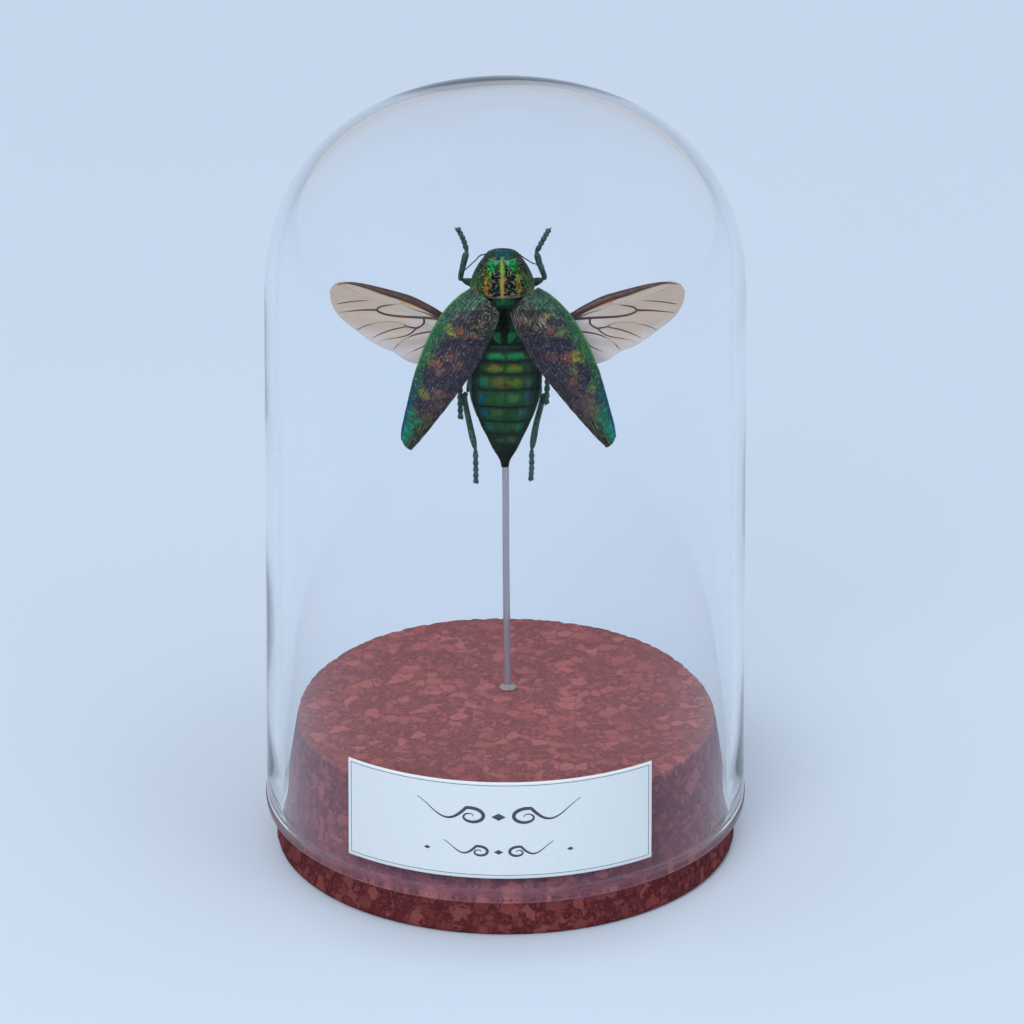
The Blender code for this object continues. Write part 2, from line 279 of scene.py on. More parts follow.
def build_cork():
    """The stopper, with open pits between its granules and a crumbling top edge."""
    taper = math.degrees(math.atan2(CORK_FOOT_RADIUS - CORK_TOP_RADIUS, CORK_HEIGHT))
    edge = CORK_EDGE_ROUND
    foot = arc((CORK_FOOT_RADIUS - 1.0, 1.0), 1.0, -90, taper, 6)
    shoulder = arc((CORK_TOP_RADIUS - edge, CORK_HEIGHT - edge), edge, taper, 90, 6)
    side = np.linspace(foot[-1], shoulder[0], 44)[1:-1]
    bottom = np.column_stack([np.linspace(2.0, CORK_FOOT_RADIUS - 1.4, 8), np.zeros(8)])
    top = np.column_stack([np.linspace(CORK_TOP_RADIUS - 0.9, 0.4, 74), np.full(74, CORK_HEIGHT)])
    rings, normals = turned(np.vstack([bottom, foot, side, shoulder, top]), CORK_SIDES)
    points, faces = closed_skin(rings)
    outwards = np.vstack([normals.reshape(-1, 3), [(0, 0, -1)], [(0, 0, 1)]])
    pits = 0.10 * smooth(cracks(points, 2.6), 0.16, 0.0)
    pits += 0.07 * smooth(cracks(points, 1.1, 5.0), 0.2, 0.0)
    pits += 0.05 * (1 + grains(points, 0.8))
    rim = np.hypot(np.hypot(points[:, 0], points[:, 1]) - CORK_TOP_RADIUS, points[:, 2] - CORK_HEIGHT)
    pits += 0.3 * smooth(rim, 1.2, 0.0) * smooth(grains(points, 0.9, 9.0), 0.0, 0.5)
    pits *= smooth(points[:, 2], 0.0, 0.8)
    return points - outwards * pits[:, None], faces


# Layers of granules, fine to coarse: cells to the millimetre, share that shows, darkest, palest.
GRANULES = (
    (3.4, 0.66, dye(108, 46, 54), dye(150, 80, 84)),
    (1.9, 0.46, dye(114, 52, 58), dye(164, 90, 92)),
    (0.95, 0.36, dye(140, 66, 72), dye(182, 100, 102)),
    (0.44, 0.30, dye(156, 76, 80), dye(196, 112, 110)),
)


def cork_finish():
    cork = Finish("cork", Specular_IOR_Level=0.08)
    place = cork.place()
    skin = cork.ramp(cork.grain(place, 3.5, 4.0), (0.35, dye(84, 36, 46)), (0.65, dye(132, 66, 74)))
    height = cork.grain(place, 5.0, 3.0) * 0.5
    for number, (scale, share, dark, pale) in enumerate(GRANULES):
        drift = cork.vector("ADD", place, (7.0 * number, 3.0, 0.0))
        loose = cork.wander(cork.wander(drift, scale * 1.1, 0.8 / scale), scale * 4.0, 0.25 / scale)
        colour = cork.cells(loose, scale, "Color")
        near = cork.cells(loose, scale, "Distance", "DISTANCE_TO_EDGE")
        shows = cork.rise(cork.part(colour, 0), 1.0 - share, 1.02 - share)
        shows = shows * cork.rise(near, 0.04, 0.07)
        tone = cork.part(colour, 1) * 0.8 + cork.grain(place, scale * 3.0, 3.0) * 0.35
        skin = cork.blend(shows * 0.92, skin, cork.ramp(tone, (0.15, dark), (0.85, pale)))
        height = height + shows * 0.4
    level = cork.along(place, "Z")
    cloud = cork.grain(place, 0.5, 3.0)
    top = cork.rise(level, CORK_HEIGHT - 0.6, CORK_HEIGHT - 0.15)
    # Painted reflection: a lavender veil over the cork's side behind the glass, standing in for the
    # surroundings mirrored in the glass.
    painted_glass_reflection = cork.rise(level, GLASS_FOOT - 0.3, GLASS_FOOT + 0.9) * (1.0 - top)
    skin = cork.blend(painted_glass_reflection * (0.30 + cloud * 0.25), skin, dye(128, 104, 126))
    # Painted light: the top face is made paler, standing in for the glass haze and the light from above.
    skin = cork.blend(top * 0.24, skin, dye(214, 160, 164))
    # Painted shade: the foot below the glass is made darker, as it gets no light from below.
    painted_foot_shade = cork.rise(level, GLASS_FOOT + 0.5, GLASS_FOOT - 1.0)
    skin = cork.blend(painted_foot_shade * 0.62, skin, dye(44, 0, 0))
    cork.show(Base_Color=skin, Roughness=0.9 - shows * 0.12, Normal=cork.relief(height, 0.07))
    return cork


fit(add_piece("cork_base_stopper", *build_cork(), cork_finish()), "cork_base")

# ----------------------------------------------------------------------------- Support rod
# A thin drawn rod of clear acrylic, pushed into a hole in the cork and glued at its foot. The
# beetle's tail sits on its cut top end.

ROD_RADIUS = 0.6
ROD_FOOT = Vector((0.5, 7.6, CORK_HEIGHT))
ROD_TOP = Vector((0.07, 7.0, 65.4))
SOCKET_DEPTH = 8.0


def swept(path, radii, sides, flatten=1.0, flutes=0.0, side_hint=(0.0, 1.0, 0.0)):
    """Rings of points round a path: oval if flattened, ridged if fluted."""
    path = np.asarray(path, float)
    ahead = unit(np.gradient(path, axis=0))
    side = unit(np.cross(ahead, side_hint))
    up = np.cross(ahead, side)
    angles = 2 * np.pi * np.arange(sides) / sides
    swell = 1 + flutes * np.cos(6 * angles)
    radii = np.asarray(radii, float)[:, None, None]
    across = side[:, None] * (np.cos(angles) * swell)[None, :, None]
    high = up[:, None] * (np.sin(angles) * swell * flatten)[None, :, None]
    return path[:, None] + radii * (across + high)


def rod_finish():
    rod = Finish("clear_rod", Transmission_Weight=0.55, IOR=1.4)
    place = rod.place()
    drawn = rod.grain(rod.vector("MULTIPLY", place, (3.0, 3.0, 0.12)), 1.0, 2.0)
    colour = rod.blend(drawn, dye(172, 168, 184), dye(198, 194, 208))
    rod.show(Base_Color=colour, Roughness=0.12 + drawn * 0.12)
    return rod


def build_rod():
    direction = (ROD_TOP - ROD_FOOT).normalized()
    foot = ROD_FOOT - direction * SOCKET_DEPTH
    steps = np.array([0.0, 0.05, 0.5, 0.97, 0.995, 1.0])
    path = [foot.lerp(ROD_TOP, step) for step in steps]
    radii = ROD_RADIUS * np.array([1.0, 1.0, 1.0, 1.0, 0.97, 0.82])
    return closed_skin(swept(path, radii, 32))


fit(add_piece("support_rod_bar", *build_rod(), rod_finish()), "support_rod")

# ------------------------------------------------------------------------------- Glue bead
# A small ring of clear glue that crept up round the rod's foot and set there.

GLUE_SIDES = 48
GLUE_PROFILE = (
    (0.62, 0.02), (1.1, 0.02), (1.5, 0.03), (1.58, 0.1), (1.4, 0.28), (1.1, 0.42), (0.85, 0.58),
    (0.68, 0.72), (0.62, 0.72),
)


def build_glue():
    """A ring of glue round the rod: its profile is closed, so its last ring joins the first."""
    points = turned(np.array(GLUE_PROFILE), GLUE_SIDES)[0].reshape(-1, 3)
    quads = grid_faces(len(GLUE_PROFILE) + 1, GLUE_SIDES, ring=True)
    faces = [tuple(corner % len(points) for corner in face) for face in quads]
    swell = 1 + 0.12 * grains(points, 1.0, 3.0) * smooth(np.hypot(points[:, 0], points[:, 1]), 0.7, 1.4)
    points = points * np.column_stack([swell, swell, np.ones(len(points))])
    return points + np.array(ROD_FOOT), faces


def glue_finish():
    glue = Finish("clear_glue", Transmission_Weight=0.45, IOR=1.45)
    cloud = glue.grain(glue.place(), 1.5, 3.0)
    colour = glue.blend(cloud, dye(176, 160, 170), dye(214, 206, 214))
    glue.show(Base_Color=colour, Roughness=0.15 + cloud * 0.2)
    return glue


fit(add_piece("glue_bead_ring", *build_glue(), glue_finish()), "glue_bead")

# ---------------------------------------------------------------------------------- Thorax
# The beetle's middle and rear segments under the wings: horny plates of green metallic cuticle,
# with the scutellum in the middle and the dark channel between the wing roots below it.

BODY_DEPTH = 7.0
AROUND = 168


def eased(knots, values, at):
    """Values on the smooth curve that passes through the knots."""
    knots = np.asarray(knots, float)
    values = np.asarray(values, float)
    slopes = np.gradient(values, knots, axis=0)
    lower = np.clip(np.searchsorted(knots, at, side="right") - 1, 0, len(knots) - 2)
    span = knots[lower + 1] - knots[lower]
    share = (at - knots[lower]) / span
    if values.ndim == 2:
        span = span[:, None]
        share = share[:, None]
    rest = 1 - share
    start = (1 + 2 * share) * rest * rest * values[lower] + share * rest * rest * span * slopes[lower]
    end = share * share * (3 - 2 * share) * values[lower + 1]
    return start + end - share * share * rest * span * slopes[lower + 1]


def body_rings(sections, shift, rows):
    """Oval rings through level sections (height, half-width, depth to back, depth to belly)."""
    sections = np.array(sections, float)
    heights = np.linspace(sections[0, 0], sections[-1, 0], rows)
    widths, backs, bellies = (eased(sections[:, 0], sections[:, i], heights) for i in (1, 2, 3))
    angles = 2 * np.pi * np.arange(AROUND) / AROUND
    depths = np.where(np.sin(angles)[None] > 0, bellies[:, None], backs[:, None])
    across = shift + widths[:, None] * np.cos(angles)[None]
    depth = BODY_DEPTH + depths * np.sin(angles)[None]
    upright = np.repeat(heights[:, None], AROUND, axis=1)
    return np.stack([across, depth, upright], axis=2)


def raised(rings, heights):
    """The rings' points moved out from the surface by the heights."""
    around = np.roll(rings, -1, axis=1) - np.roll(rings, 1, axis=1)
    along = np.gradient(rings, axis=0)
    normals = unit(np.cross(around, along))
    return rings + normals * heights.reshape(rings.shape[:2])[..., None]


def body_piece(name, rings, heights, finish, **notes):
    """A closed body piece, with its height of relief kept for the finish."""
    points, faces = closed_skin(raised(rings, heights))
    notes["relief"] = heights
    kept = {key: np.concatenate([values, values[:1], values[-1:]]) for key, values in notes.items()}
    return add_piece(name, points, faces, finish, **kept)


def oval(x, z, centre, size):
    """1 at the centre of an oval, falling to 0 at its edge."""
    return smooth(np.hypot((x - centre[0]) / size[0], (z - centre[1]) / size[1]), 1.0, 0.0)


def line(distance, width):
    """1 on a line, falling away to nothing at about twice the width."""
    return np.exp(-(distance / width) ** 2)


def laid(rings, shift):
    """The rings' points in one list, with each one's distance across and its height."""
    flat = rings.reshape(-1, 3)
    return flat, flat[:, 0] - shift, flat[:, 2]


class Cuticle(Finish):
    """Horny insect skin: metallic colours under a thin gloss, painted by place."""

    def __init__(self, name, rough=0.34, metal=0.6):
        super().__init__(name, Metallic=metal, Specular_IOR_Level=0.12)
        self.rough = rough
        self.spot = self.place()
        self.loose = self.wander(self.spot, 1.2, 0.9)
        self.relief_height = self.kept("relief")
        self.ragged = self.grain(self.spot, 2.4, 4.0) * 1.6 - 0.8

    def axis(self, name):
        return self.along(self.spot, name)

    def patch(self, centre, size, colour, strength=1.0, soft=0.3):
        """Paints an oval patch at (x, height), with a ragged edge."""
        scale = (1 / size[0], 0.0, 1 / size[1])
        offset = (-centre[0] / size[0], 0.0, -centre[1] / size[1])
        near = self.vector("MULTIPLY_ADD", self.loose, scale, offset)
        mask = self.rise(self.vector("LENGTH", near) + self.ragged, 1.0, soft) * strength
        self.paint(mask, colour)

    def patches(self, rows, soft=0.3):
        """Paints oval patches. A row is a patch's centre, half-sizes, colour and strength."""
        for centre, size, colour, strength in rows:
            self.patch(centre, size, colour, strength, soft)

    def done(self, grain_scale=9.0, depth=0.03, dark=0.55):
        """The plain bronze-green underside, fine pits and specks, and a broken gloss."""
        horn = self.ramp(
            self.grain(self.loose, 1.6, 5.0), (0.3, dye(18, 46, 38)), (0.5, dye(26, 64, 48)),
            (0.62, dye(42, 76, 52)), (0.75, dye(70, 80, 54)),
        )
        self.colour = self.blend(self.rise(self.axis("Y"), BODY_DEPTH, 7.9), self.colour, horn)
        specks = self.cells(self.spot, grain_scale)
        pits = self.rise(specks, 0.25, 0.6)
        self.colour = self.blend(pits * dark, self.colour, dye(14, 20, 18))
        height = self.grain(self.spot, grain_scale * 0.8, 3.0) - pits
        self.show(
            Base_Color=self.colour,
            Roughness=self.rough + self.grain(self.spot, 3.0, 2.0) * 0.2,
            Normal=self.relief(height, depth),
        )
        return self


THORAX_SHIFT = -0.1
THORAX_ROWS = 150
THORAX = (
    (87.9, 4.6, 1.7, 3.0), (88.8, 5.9, 2.2, 4.1), (91.5, 5.8, 2.3, 4.5),
    (94.5, 5.4, 2.2, 4.3), (96.4, 4.7, 2.0, 3.6), (97.2, 3.4, 1.4, 2.4),
)
SLIT = (-0.1, 92.3)
SLIT_SIZE = (1.05, 3.4)


def build_thorax():
    rings = body_rings(THORAX, THORAX_SHIFT, THORAX_ROWS)
    flat, x, z = laid(rings, THORAX_SHIFT)
    back = smooth(flat[:, 1], 6.6, 5.4)
    lobe = smooth(np.abs(x), 0.4, 0.8) * smooth(z, 91.2, 90.4) * smooth(z, 88.2, 88.7)
    lobe *= smooth(np.abs(x) - 0.8 * (z - 88.2), 0.9, 0.3)
    scutum = oval(x, z, (0.0, 96.2), (2.2, 1.5)) * 0.4 - oval(x, z, (0.0, 94.7), (1.5, 0.5)) * 0.25
    slit = oval(x, z, (0.0, SLIT[1]), SLIT_SIZE) * -1.1
    ridges = 0.08 * np.sin(x * 8.0 + 3.0 * grains(flat, 1.2)) * smooth(np.abs(x), 1.0, 2.0)
    heights = back * (0.32 * lobe + scutum + slit + ridges) + 0.04 * grains(flat, 0.35, 4.0)
    belly = smooth(flat[:, 1], 7.6, 8.8)
    heights -= belly * 0.22 * line(x, 0.16)
    heights -= belly * 0.22 * line(z - 92.6 + 0.16 * np.abs(x), 0.14)
    hips = oval(np.abs(x), z, (2.3, 93.9), (1.5, 1.2)) + oval(np.abs(x), z, (2.2, 89.0), (2.6, 1.0))
    heights += belly * 0.35 * hips
    finish = Cuticle("thorax_green")
    mottle = finish.grain(finish.loose, 1.1, 4.0)
    finish.colour = finish.ramp(
        mottle, (0.3, dye(18, 36, 30)), (0.45, dye(16, 66, 46)), (0.6, dye(30, 98, 60)),
        (0.75, dye(84, 110, 62)),
    )
    side = finish.absolute(finish.axis("X"))
    flanks = finish.rise(side, 1.2, 2.4) * finish.rise(finish.axis("Z"), 89.8, 91.0)
    finish.paint(flanks * 0.75, dye(50, 50, 38))
    fold = finish.kept("lobe")
    finish.paint(finish.rise(fold, 0.05, 0.4), dye(8, 20, 18))
    finish.paint(finish.rise(fold, 0.4, 0.6), dye(18, 128, 72))
    finish.paint(finish.rise(fold, 0.6, 0.95) * finish.rise(mottle, 0.45, 0.6) * 0.8, dye(84, 166, 86))
    finish.patch((-0.1, 96.2), (2.2, 1.5), dye(20, 130, 78), 0.85)
    finish.patch((-0.1, 96.7), (1.0, 0.5), dye(70, 176, 96), 0.6)
    finish.patch(SLIT, (1.25, 3.9), dye(8, 10, 26), 1.0, soft=0.6)
    finish.paint(finish.rise(finish.axis("Z"), 88.5, 88.2) * 0.9, dye(44, 34, 42))
    finish.paint(finish.rise(finish.relief_height, -0.06, -0.2) * 0.8, dye(6, 12, 16))
    return body_piece("thorax_plates", rings, heights, finish.done(), lobe=lobe * back)


fit(build_thorax(), "thorax")

# --------------------------------------------------------------------------------- Abdomen
# Seven shingled plates of green cuticle, each with its rear edge over the next one down, a
# flat pale rim along each side, and a dark point that sits on the rod.

ABDOMEN_ROWS = 260
ABDOMEN = (
    (65.3, 0.66, 0.5, 0.5), (66.0, 0.74, 0.6, 0.6), (66.7, 1.0, 0.7, 0.85), (68.3, 1.9, 0.9, 1.3),
    (70.2, 2.75, 1.15, 1.8), (73.2, 4.1, 1.5, 2.6), (77.4, 5.65, 1.8, 3.4), (83.0, 6.2, 1.9, 3.7),
    (86.6, 6.0, 1.9, 3.6), (87.8, 5.3, 1.6, 3.1), (88.6, 4.5, 1.1, 2.5),
)
SEAMS = (87.2, 85.2, 82.8, 79.9, 76.9, 74.4, 72.0, 68.4)
ABDOMEN_PATCHES = (
    ((-1.75, 86.0), (2.0, 0.75), dye(6, 150, 84), 1.0),
    ((1.85, 86.0), (2.0, 0.75), dye(24, 140, 80), 1.0),
    ((0.0, 84.9), (5.4, 0.9), dye(40, 52, 44), 0.5),
    ((-1.7, 83.7), (1.9, 0.9), dye(108, 124, 36), 0.9),
    ((1.7, 83.7), (1.9, 0.9), dye(92, 132, 40), 0.9),
    ((-1.5, 84.3), (0.8, 0.4), dye(156, 88, 26), 0.8),
    ((1.5, 84.2), (0.8, 0.45), dye(146, 96, 30), 0.75),
    ((-0.6, 81.3), (2.7, 1.3), dye(98, 102, 42), 0.8),
    ((1.9, 81.2), (1.2, 1.2), dye(88, 124, 34), 0.8),
    ((0.1, 80.7), (0.8, 0.6), dye(96, 58, 30), 0.85),
    ((-3.6, 81.2), (1.2, 1.3), dye(4, 118, 84), 0.9),
    ((4.0, 81.3), (1.3, 1.6), dye(58, 84, 76), 0.8),
    ((4.1, 84.4), (1.4, 1.4), dye(52, 76, 62), 0.7),
    ((0.2, 78.6), (2.6, 1.3), dye(42, 96, 46), 0.8),
    ((1.4, 78.5), (1.2, 1.0), dye(76, 122, 76), 0.5),
    ((-3.8, 78.4), (0.9, 1.6), dye(10, 84, 116), 0.9),
    ((3.9, 78.6), (0.9, 1.5), dye(48, 88, 116), 0.8),
    ((-3.6, 75.8), (0.9, 1.2), dye(4, 88, 122), 0.9),
    ((3.2, 75.9), (1.0, 1.2), dye(56, 88, 96), 0.7),
    ((-1.2, 76.1), (1.6, 0.8), dye(70, 98, 46), 0.5),
    ((-2.8, 73.4), (0.9, 1.0), dye(6, 104, 80), 0.85),
    ((2.4, 73.3), (0.9, 1.0), dye(16, 112, 92), 0.75),
    ((0.2, 73.6), (1.6, 1.0), dye(44, 92, 50), 0.6),
    ((0.9, 71.0), (1.1, 0.9), dye(72, 92, 66), 0.6),
)


def build_abdomen():
    rings = body_rings(ABDOMEN, 0.0, ABDOMEN_ROWS)
    flat, x, z = laid(rings, 0.0)
    heights = np.zeros(len(flat))
    for upper, lower in zip(SEAMS, SEAMS[1:]):
        share = (upper - z) / (upper - lower)
        inside = (share >= 0) & (share <= 1)
        plate = 0.26 * share ** 1.5 * smooth(share, 1.0, 0.93) - 0.1 * smooth(share, 0.08, 0.0)
        heights += np.where(inside, plate, 0.0)
    sections = np.array(ABDOMEN)
    halves = np.interp(z, sections[:, 0], sections[:, 1])
    heights *= 1 - 0.85 * smooth(np.abs(x) / halves, 0.8, 0.97)
    back = smooth(flat[:, 1], 7.4, 6.6)
    groove = line(np.abs(x) / halves - 0.88, 0.035)
    heights -= 0.28 * groove * back * smooth(z, 70.0, 73.0)
    heights -= 0.07 * line(x, 0.12) * back * smooth(z, 71.0, 76.0)
    heights += (0.035 * grains(flat, 0.5, 2.0) + 0.05 * grains(flat, 1.6, 6.0)) * back
    drop = z + 0.12 * grains(flat, 1.5, 5.0)
    seam = sum(line(drop - height + 0.05, 0.21) for height in SEAMS) * back
    seam = np.clip(seam + 0.8 * groove * back * smooth(z, 70.0, 73.0), 0.0, 1.0)
    shade = sum(line(drop - height, 0.75) for height in SEAMS) * 0.7
    shade = np.clip(shade + smooth(np.abs(x) / halves, 0.6, 0.9), 0.0, 1.0)
    finish = Cuticle("abdomen_green", rough=0.36, metal=0.5)
    height = finish.axis("Z")
    mottle = finish.grain(finish.loose, 0.9, 4.0)
    streak = finish.grain(finish.vector("MULTIPLY", finish.spot, (3.2, 1.0, 0.8)), 1.0, 4.0)
    along = finish.rise(height + mottle * 2.0, 67.0, 89.0)
    finish.colour = finish.ramp(
        along, (0.05, dye(20, 24, 26)), (0.3, dye(26, 74, 44)), (0.55, dye(24, 76, 40)),
        (0.8, dye(34, 72, 38)), (1.0, dye(26, 56, 44)),
    )
    finish.paint(finish.rise(mottle, 0.5, 0.72) * 0.5, dye(52, 106, 54))
    side = finish.absolute(finish.axis("X"))
    finish.patches(ABDOMEN_PATCHES, soft=0.35)
    finish.paint(finish.rise(streak, 0.56, 0.7) * 0.3, dye(112, 136, 84))
    finish.paint(finish.rise(streak, 0.46, 0.3) * 0.55, dye(10, 34, 26))
    finish.paint(finish.kept("shade") * 0.68, dye(12, 30, 26))
    finish.paint(finish.kept("seam") * 0.92, dye(6, 20, 16))
    finish.paint(finish.rise(height, 69.6, 67.4), dye(22, 18, 22))
    rim = finish.rise(finish.axis("X"), -5.45, -5.6) * finish.rise(height, 74.0, 77.0)
    finish.paint(rim * 0.8, dye(72, 92, 84))
    finish.paint(finish.rise(side, 0.35, 0.1) * finish.rise(height, 87.0, 82.0) * 0.4, dye(12, 40, 26))
    return body_piece("abdomen_plates", rings, heights, finish.done(8.0, 0.008, 0.15), seam=seam, shade=shade)


fit(build_abdomen(), "abdomen")

# ------------------------------------------------------------------------------- Prothorax
# The shield behind the head: one domed plate with a smooth stripe down the middle and one on
# each side, and coarse wrinkled fields between them. It wraps round to the belly in one piece.

PROTHORAX_SHIFT = -0.45
PROTHORAX_ROWS = 200
PROTHORAX = (
    (96.9, 3.0, 2.3, 2.0), (97.7, 5.2, 3.8, 3.3), (98.5, 5.37, 4.1, 3.6), (99.4, 5.18, 4.1, 3.6),
    (100.5, 4.8, 3.9, 3.5), (102.1, 3.96, 3.5, 3.2), (103.1, 3.3, 3.0, 2.8), (103.8, 2.85, 2.5, 2.4),
    (104.15, 2.5, 2.1, 2.0),
)
SHIELD_PATCHES = (
    ((-0.45, 99.4), (0.40, 3.4), dye(206, 172, 30), 0.95),
    ((-0.45, 102.8), (0.55, 1.6), dye(128, 200, 44), 0.95),
    ((-3.1, 99.8), (0.55, 2.2), dye(206, 168, 36), 0.9),
    ((-3.2, 98.6), (0.7, 0.8), dye(206, 120, 36), 0.7),
    ((-2.7, 101.6), (0.5, 1.3), dye(120, 190, 50), 0.85),
    ((2.25, 99.9), (0.55, 2.0), dye(206, 176, 44), 0.9),
    ((2.5, 98.8), (0.6, 0.8), dye(196, 130, 44), 0.6),
    ((1.9, 101.6), (0.5, 1.3), dye(110, 186, 50), 0.85),
    ((-2.3, 102.9), (0.85, 1.1), dye(20, 206, 110), 0.95),
    ((1.4, 102.9), (0.9, 1.1), dye(30, 200, 96), 0.95),
    ((0.45, 103.5), (0.5, 0.5), dye(80, 232, 190), 0.85),
    ((-1.6, 103.6), (0.6, 0.4), dye(60, 196, 170), 0.7),
    ((-4.5, 100.2), (0.8, 1.7), dye(50, 122, 56), 0.6),
    ((-4.9, 98.4), (0.8, 0.8), dye(150, 132, 52), 0.65),
    ((-3.9, 97.7), (0.9, 0.5), dye(84, 166, 72), 0.7),
    ((3.6, 100.2), (0.9, 1.6), dye(58, 112, 60), 0.6),
    ((4.1, 98.3), (0.8, 0.8), dye(146, 146, 60), 0.65),
    ((3.2, 97.6), (1.0, 0.5), dye(70, 150, 84), 0.6),
    ((-0.45, 97.5), (0.5, 0.5), dye(130, 196, 120), 0.8),
)


def build_prothorax():
    rings = body_rings(PROTHORAX, PROTHORAX_SHIFT, PROTHORAX_ROWS)
    flat, x, z = laid(rings, PROTHORAX_SHIFT)
    back = smooth(flat[:, 1], 6.8, 5.6)
    worm = np.abs(grains(flat * np.array([1.0, 1.0, 0.6]), 0.42, 7.0) + 0.4 * grains(flat, 0.22, 11.0)) * 4
    fields = smooth(np.abs(x), 0.25, 0.55) * smooth(np.abs(x), 4.4, 3.6) * smooth(z, 103.6, 102.8)
    heights = back * (0.16 * fields * (0.72 - np.clip(worm, 0, 1.3)))
    heights += back * 0.10 * line(x, 0.3)
    heights += back * 0.12 * smooth(z, 98.2, 97.6) * smooth(z, 97.0, 97.4)
    heights += 0.03 * grains(flat, 0.3, 1.0) * back
    lip = back * line(z - 103.75, 0.09) * smooth(np.abs(x), 2.6, 2.2)
    heights += 0.1 * lip
    belly = smooth(flat[:, 1], 7.6, 8.8)
    heights -= belly * 0.2 * line(z - 98.9 - 0.5 * line(x, 1.2), 0.14)
    finish = Cuticle("shield_green")
    mottle = finish.grain(finish.loose, 1.9, 5.0)
    finish.colour = finish.ramp(
        mottle, (0.34, dye(18, 40, 32)), (0.46, dye(32, 80, 46)), (0.58, dye(78, 112, 60)),
        (0.7, dye(150, 160, 98)),
    )
    finish.patch((-0.45, 99.9), (2.8, 3.7), dye(12, 14, 14), 0.9, soft=0.7)
    ridge = finish.rise(finish.relief_height, 0.01, 0.06)
    thread = finish.rise(finish.grain(finish.loose, 1.0, 3.0), 0.32, 0.44)
    finish.paint(ridge * thread * 0.85, dye(160, 156, 134))
    finish.patches(SHIELD_PATCHES)
    side = finish.absolute(finish.axis("X") - PROTHORAX_SHIFT)
    # Painted reflection: grey patches where the pale sky mirrors on the shield's glossy front slopes.
    painted_sky_reflection = finish.rise(side * 1.35 + finish.axis("Z"), 106.2, 107.2)
    finish.paint(painted_sky_reflection * 0.7, dye(58, 66, 66))
    finish.paint(finish.rise(finish.relief_height, 0.0, -0.08) * 0.8, dye(8, 10, 10))
    finish.paint(finish.kept("lip") * 0.6, dye(122, 156, 124))
    return body_piece("prothorax_shield", rings, heights, finish.done(10.0, 0.03, 0.35), lip=lip)


fit(build_prothorax(), "prothorax")

# ------------------------------------------------------------------------------------ Head
# The head is sunk into the shield. A blue-green brow shows between two dark bulging eyes, and
# a fine seam runs along the shield's front edge.

HEAD_SHIFT = -0.55
HEAD_ROWS = 70
HEAD = (
    (102.0, 2.0, 1.6, 1.4), (103.2, 2.3, 1.8, 1.6), (103.9, 2.35, 1.75, 1.6),
    (104.2, 2.1, 1.5, 1.4), (104.4, 1.6, 1.1, 1.0), (104.5, 0.9, 0.6, 0.5),
)
EYE_OUT = 1.8
EYE_DEPTH = 6.7
EYE_LEVEL = 103.85
EYE_HALF_LENGTH = 0.78
EYE_GIRTH = 0.86


def build_head():
    rings = body_rings(HEAD, HEAD_SHIFT, HEAD_ROWS)
    flat, x, z = laid(rings, HEAD_SHIFT)
    brow = 0.16 * smooth(np.abs(x), 1.35, 1.1) * smooth(z, 103.2, 103.8)
    heights = brow - 0.1 * line(np.abs(x) - 1.35, 0.12) - 0.05 * line(x, 0.15)
    heights += 0.03 * grains(flat, 0.3, 8.0)
    finish = Cuticle("brow_blue")
    mottle = finish.grain(finish.loose, 1.6, 3.0)
    finish.colour = finish.ramp(
        mottle, (0.35, dye(18, 70, 84)), (0.5, dye(20, 94, 120)), (0.65, dye(32, 132, 112))
    )
    finish.paint(finish.rise(finish.relief_height, -0.02, -0.1), dye(30, 60, 50))
    return body_piece("head_capsule", rings, heights, finish.done(11.0, 0.03, 0.4))


def eye_finish():
    eye = Finish("eye_horn", Metallic=0.3, Specular_IOR_Level=0.3)
    facets = eye.cells(eye.place(), 9.0)
    eye.show(
        Base_Color=eye.blend(facets, dye(44, 66, 46), dye(18, 34, 26)),
        Roughness=0.28 + facets * 0.2,
        Normal=eye.relief(1.0 - facets, 0.02),
    )
    return eye


def build_eye(side):
    """A long bulging eye, from an egg of rings set into the side of the head."""
    steps = np.linspace(0.04, 0.96, 24) * np.pi
    centre = np.array([HEAD_SHIFT + side * EYE_OUT, EYE_DEPTH, EYE_LEVEL])
    path = centre[None] + np.outer(-np.cos(steps), (0, 0, EYE_HALF_LENGTH))
    return closed_skin(swept(path, EYE_GIRTH * np.sin(steps), 36, 1.45))


fit(build_head(), "head")
eyes = eye_finish()
for label, side in (("left", -1), ("right", 1)):
    fit(add_piece("head_eye_" + label, *build_eye(side), eyes), "head")

# ------------------------------------------------------------------------------- Hindwings
# Clear flying wings: a film of membrane stretched between stiff brown veins. The thick leading
# vein is stained dark, and an amber strip of thicker membrane lies just behind it.

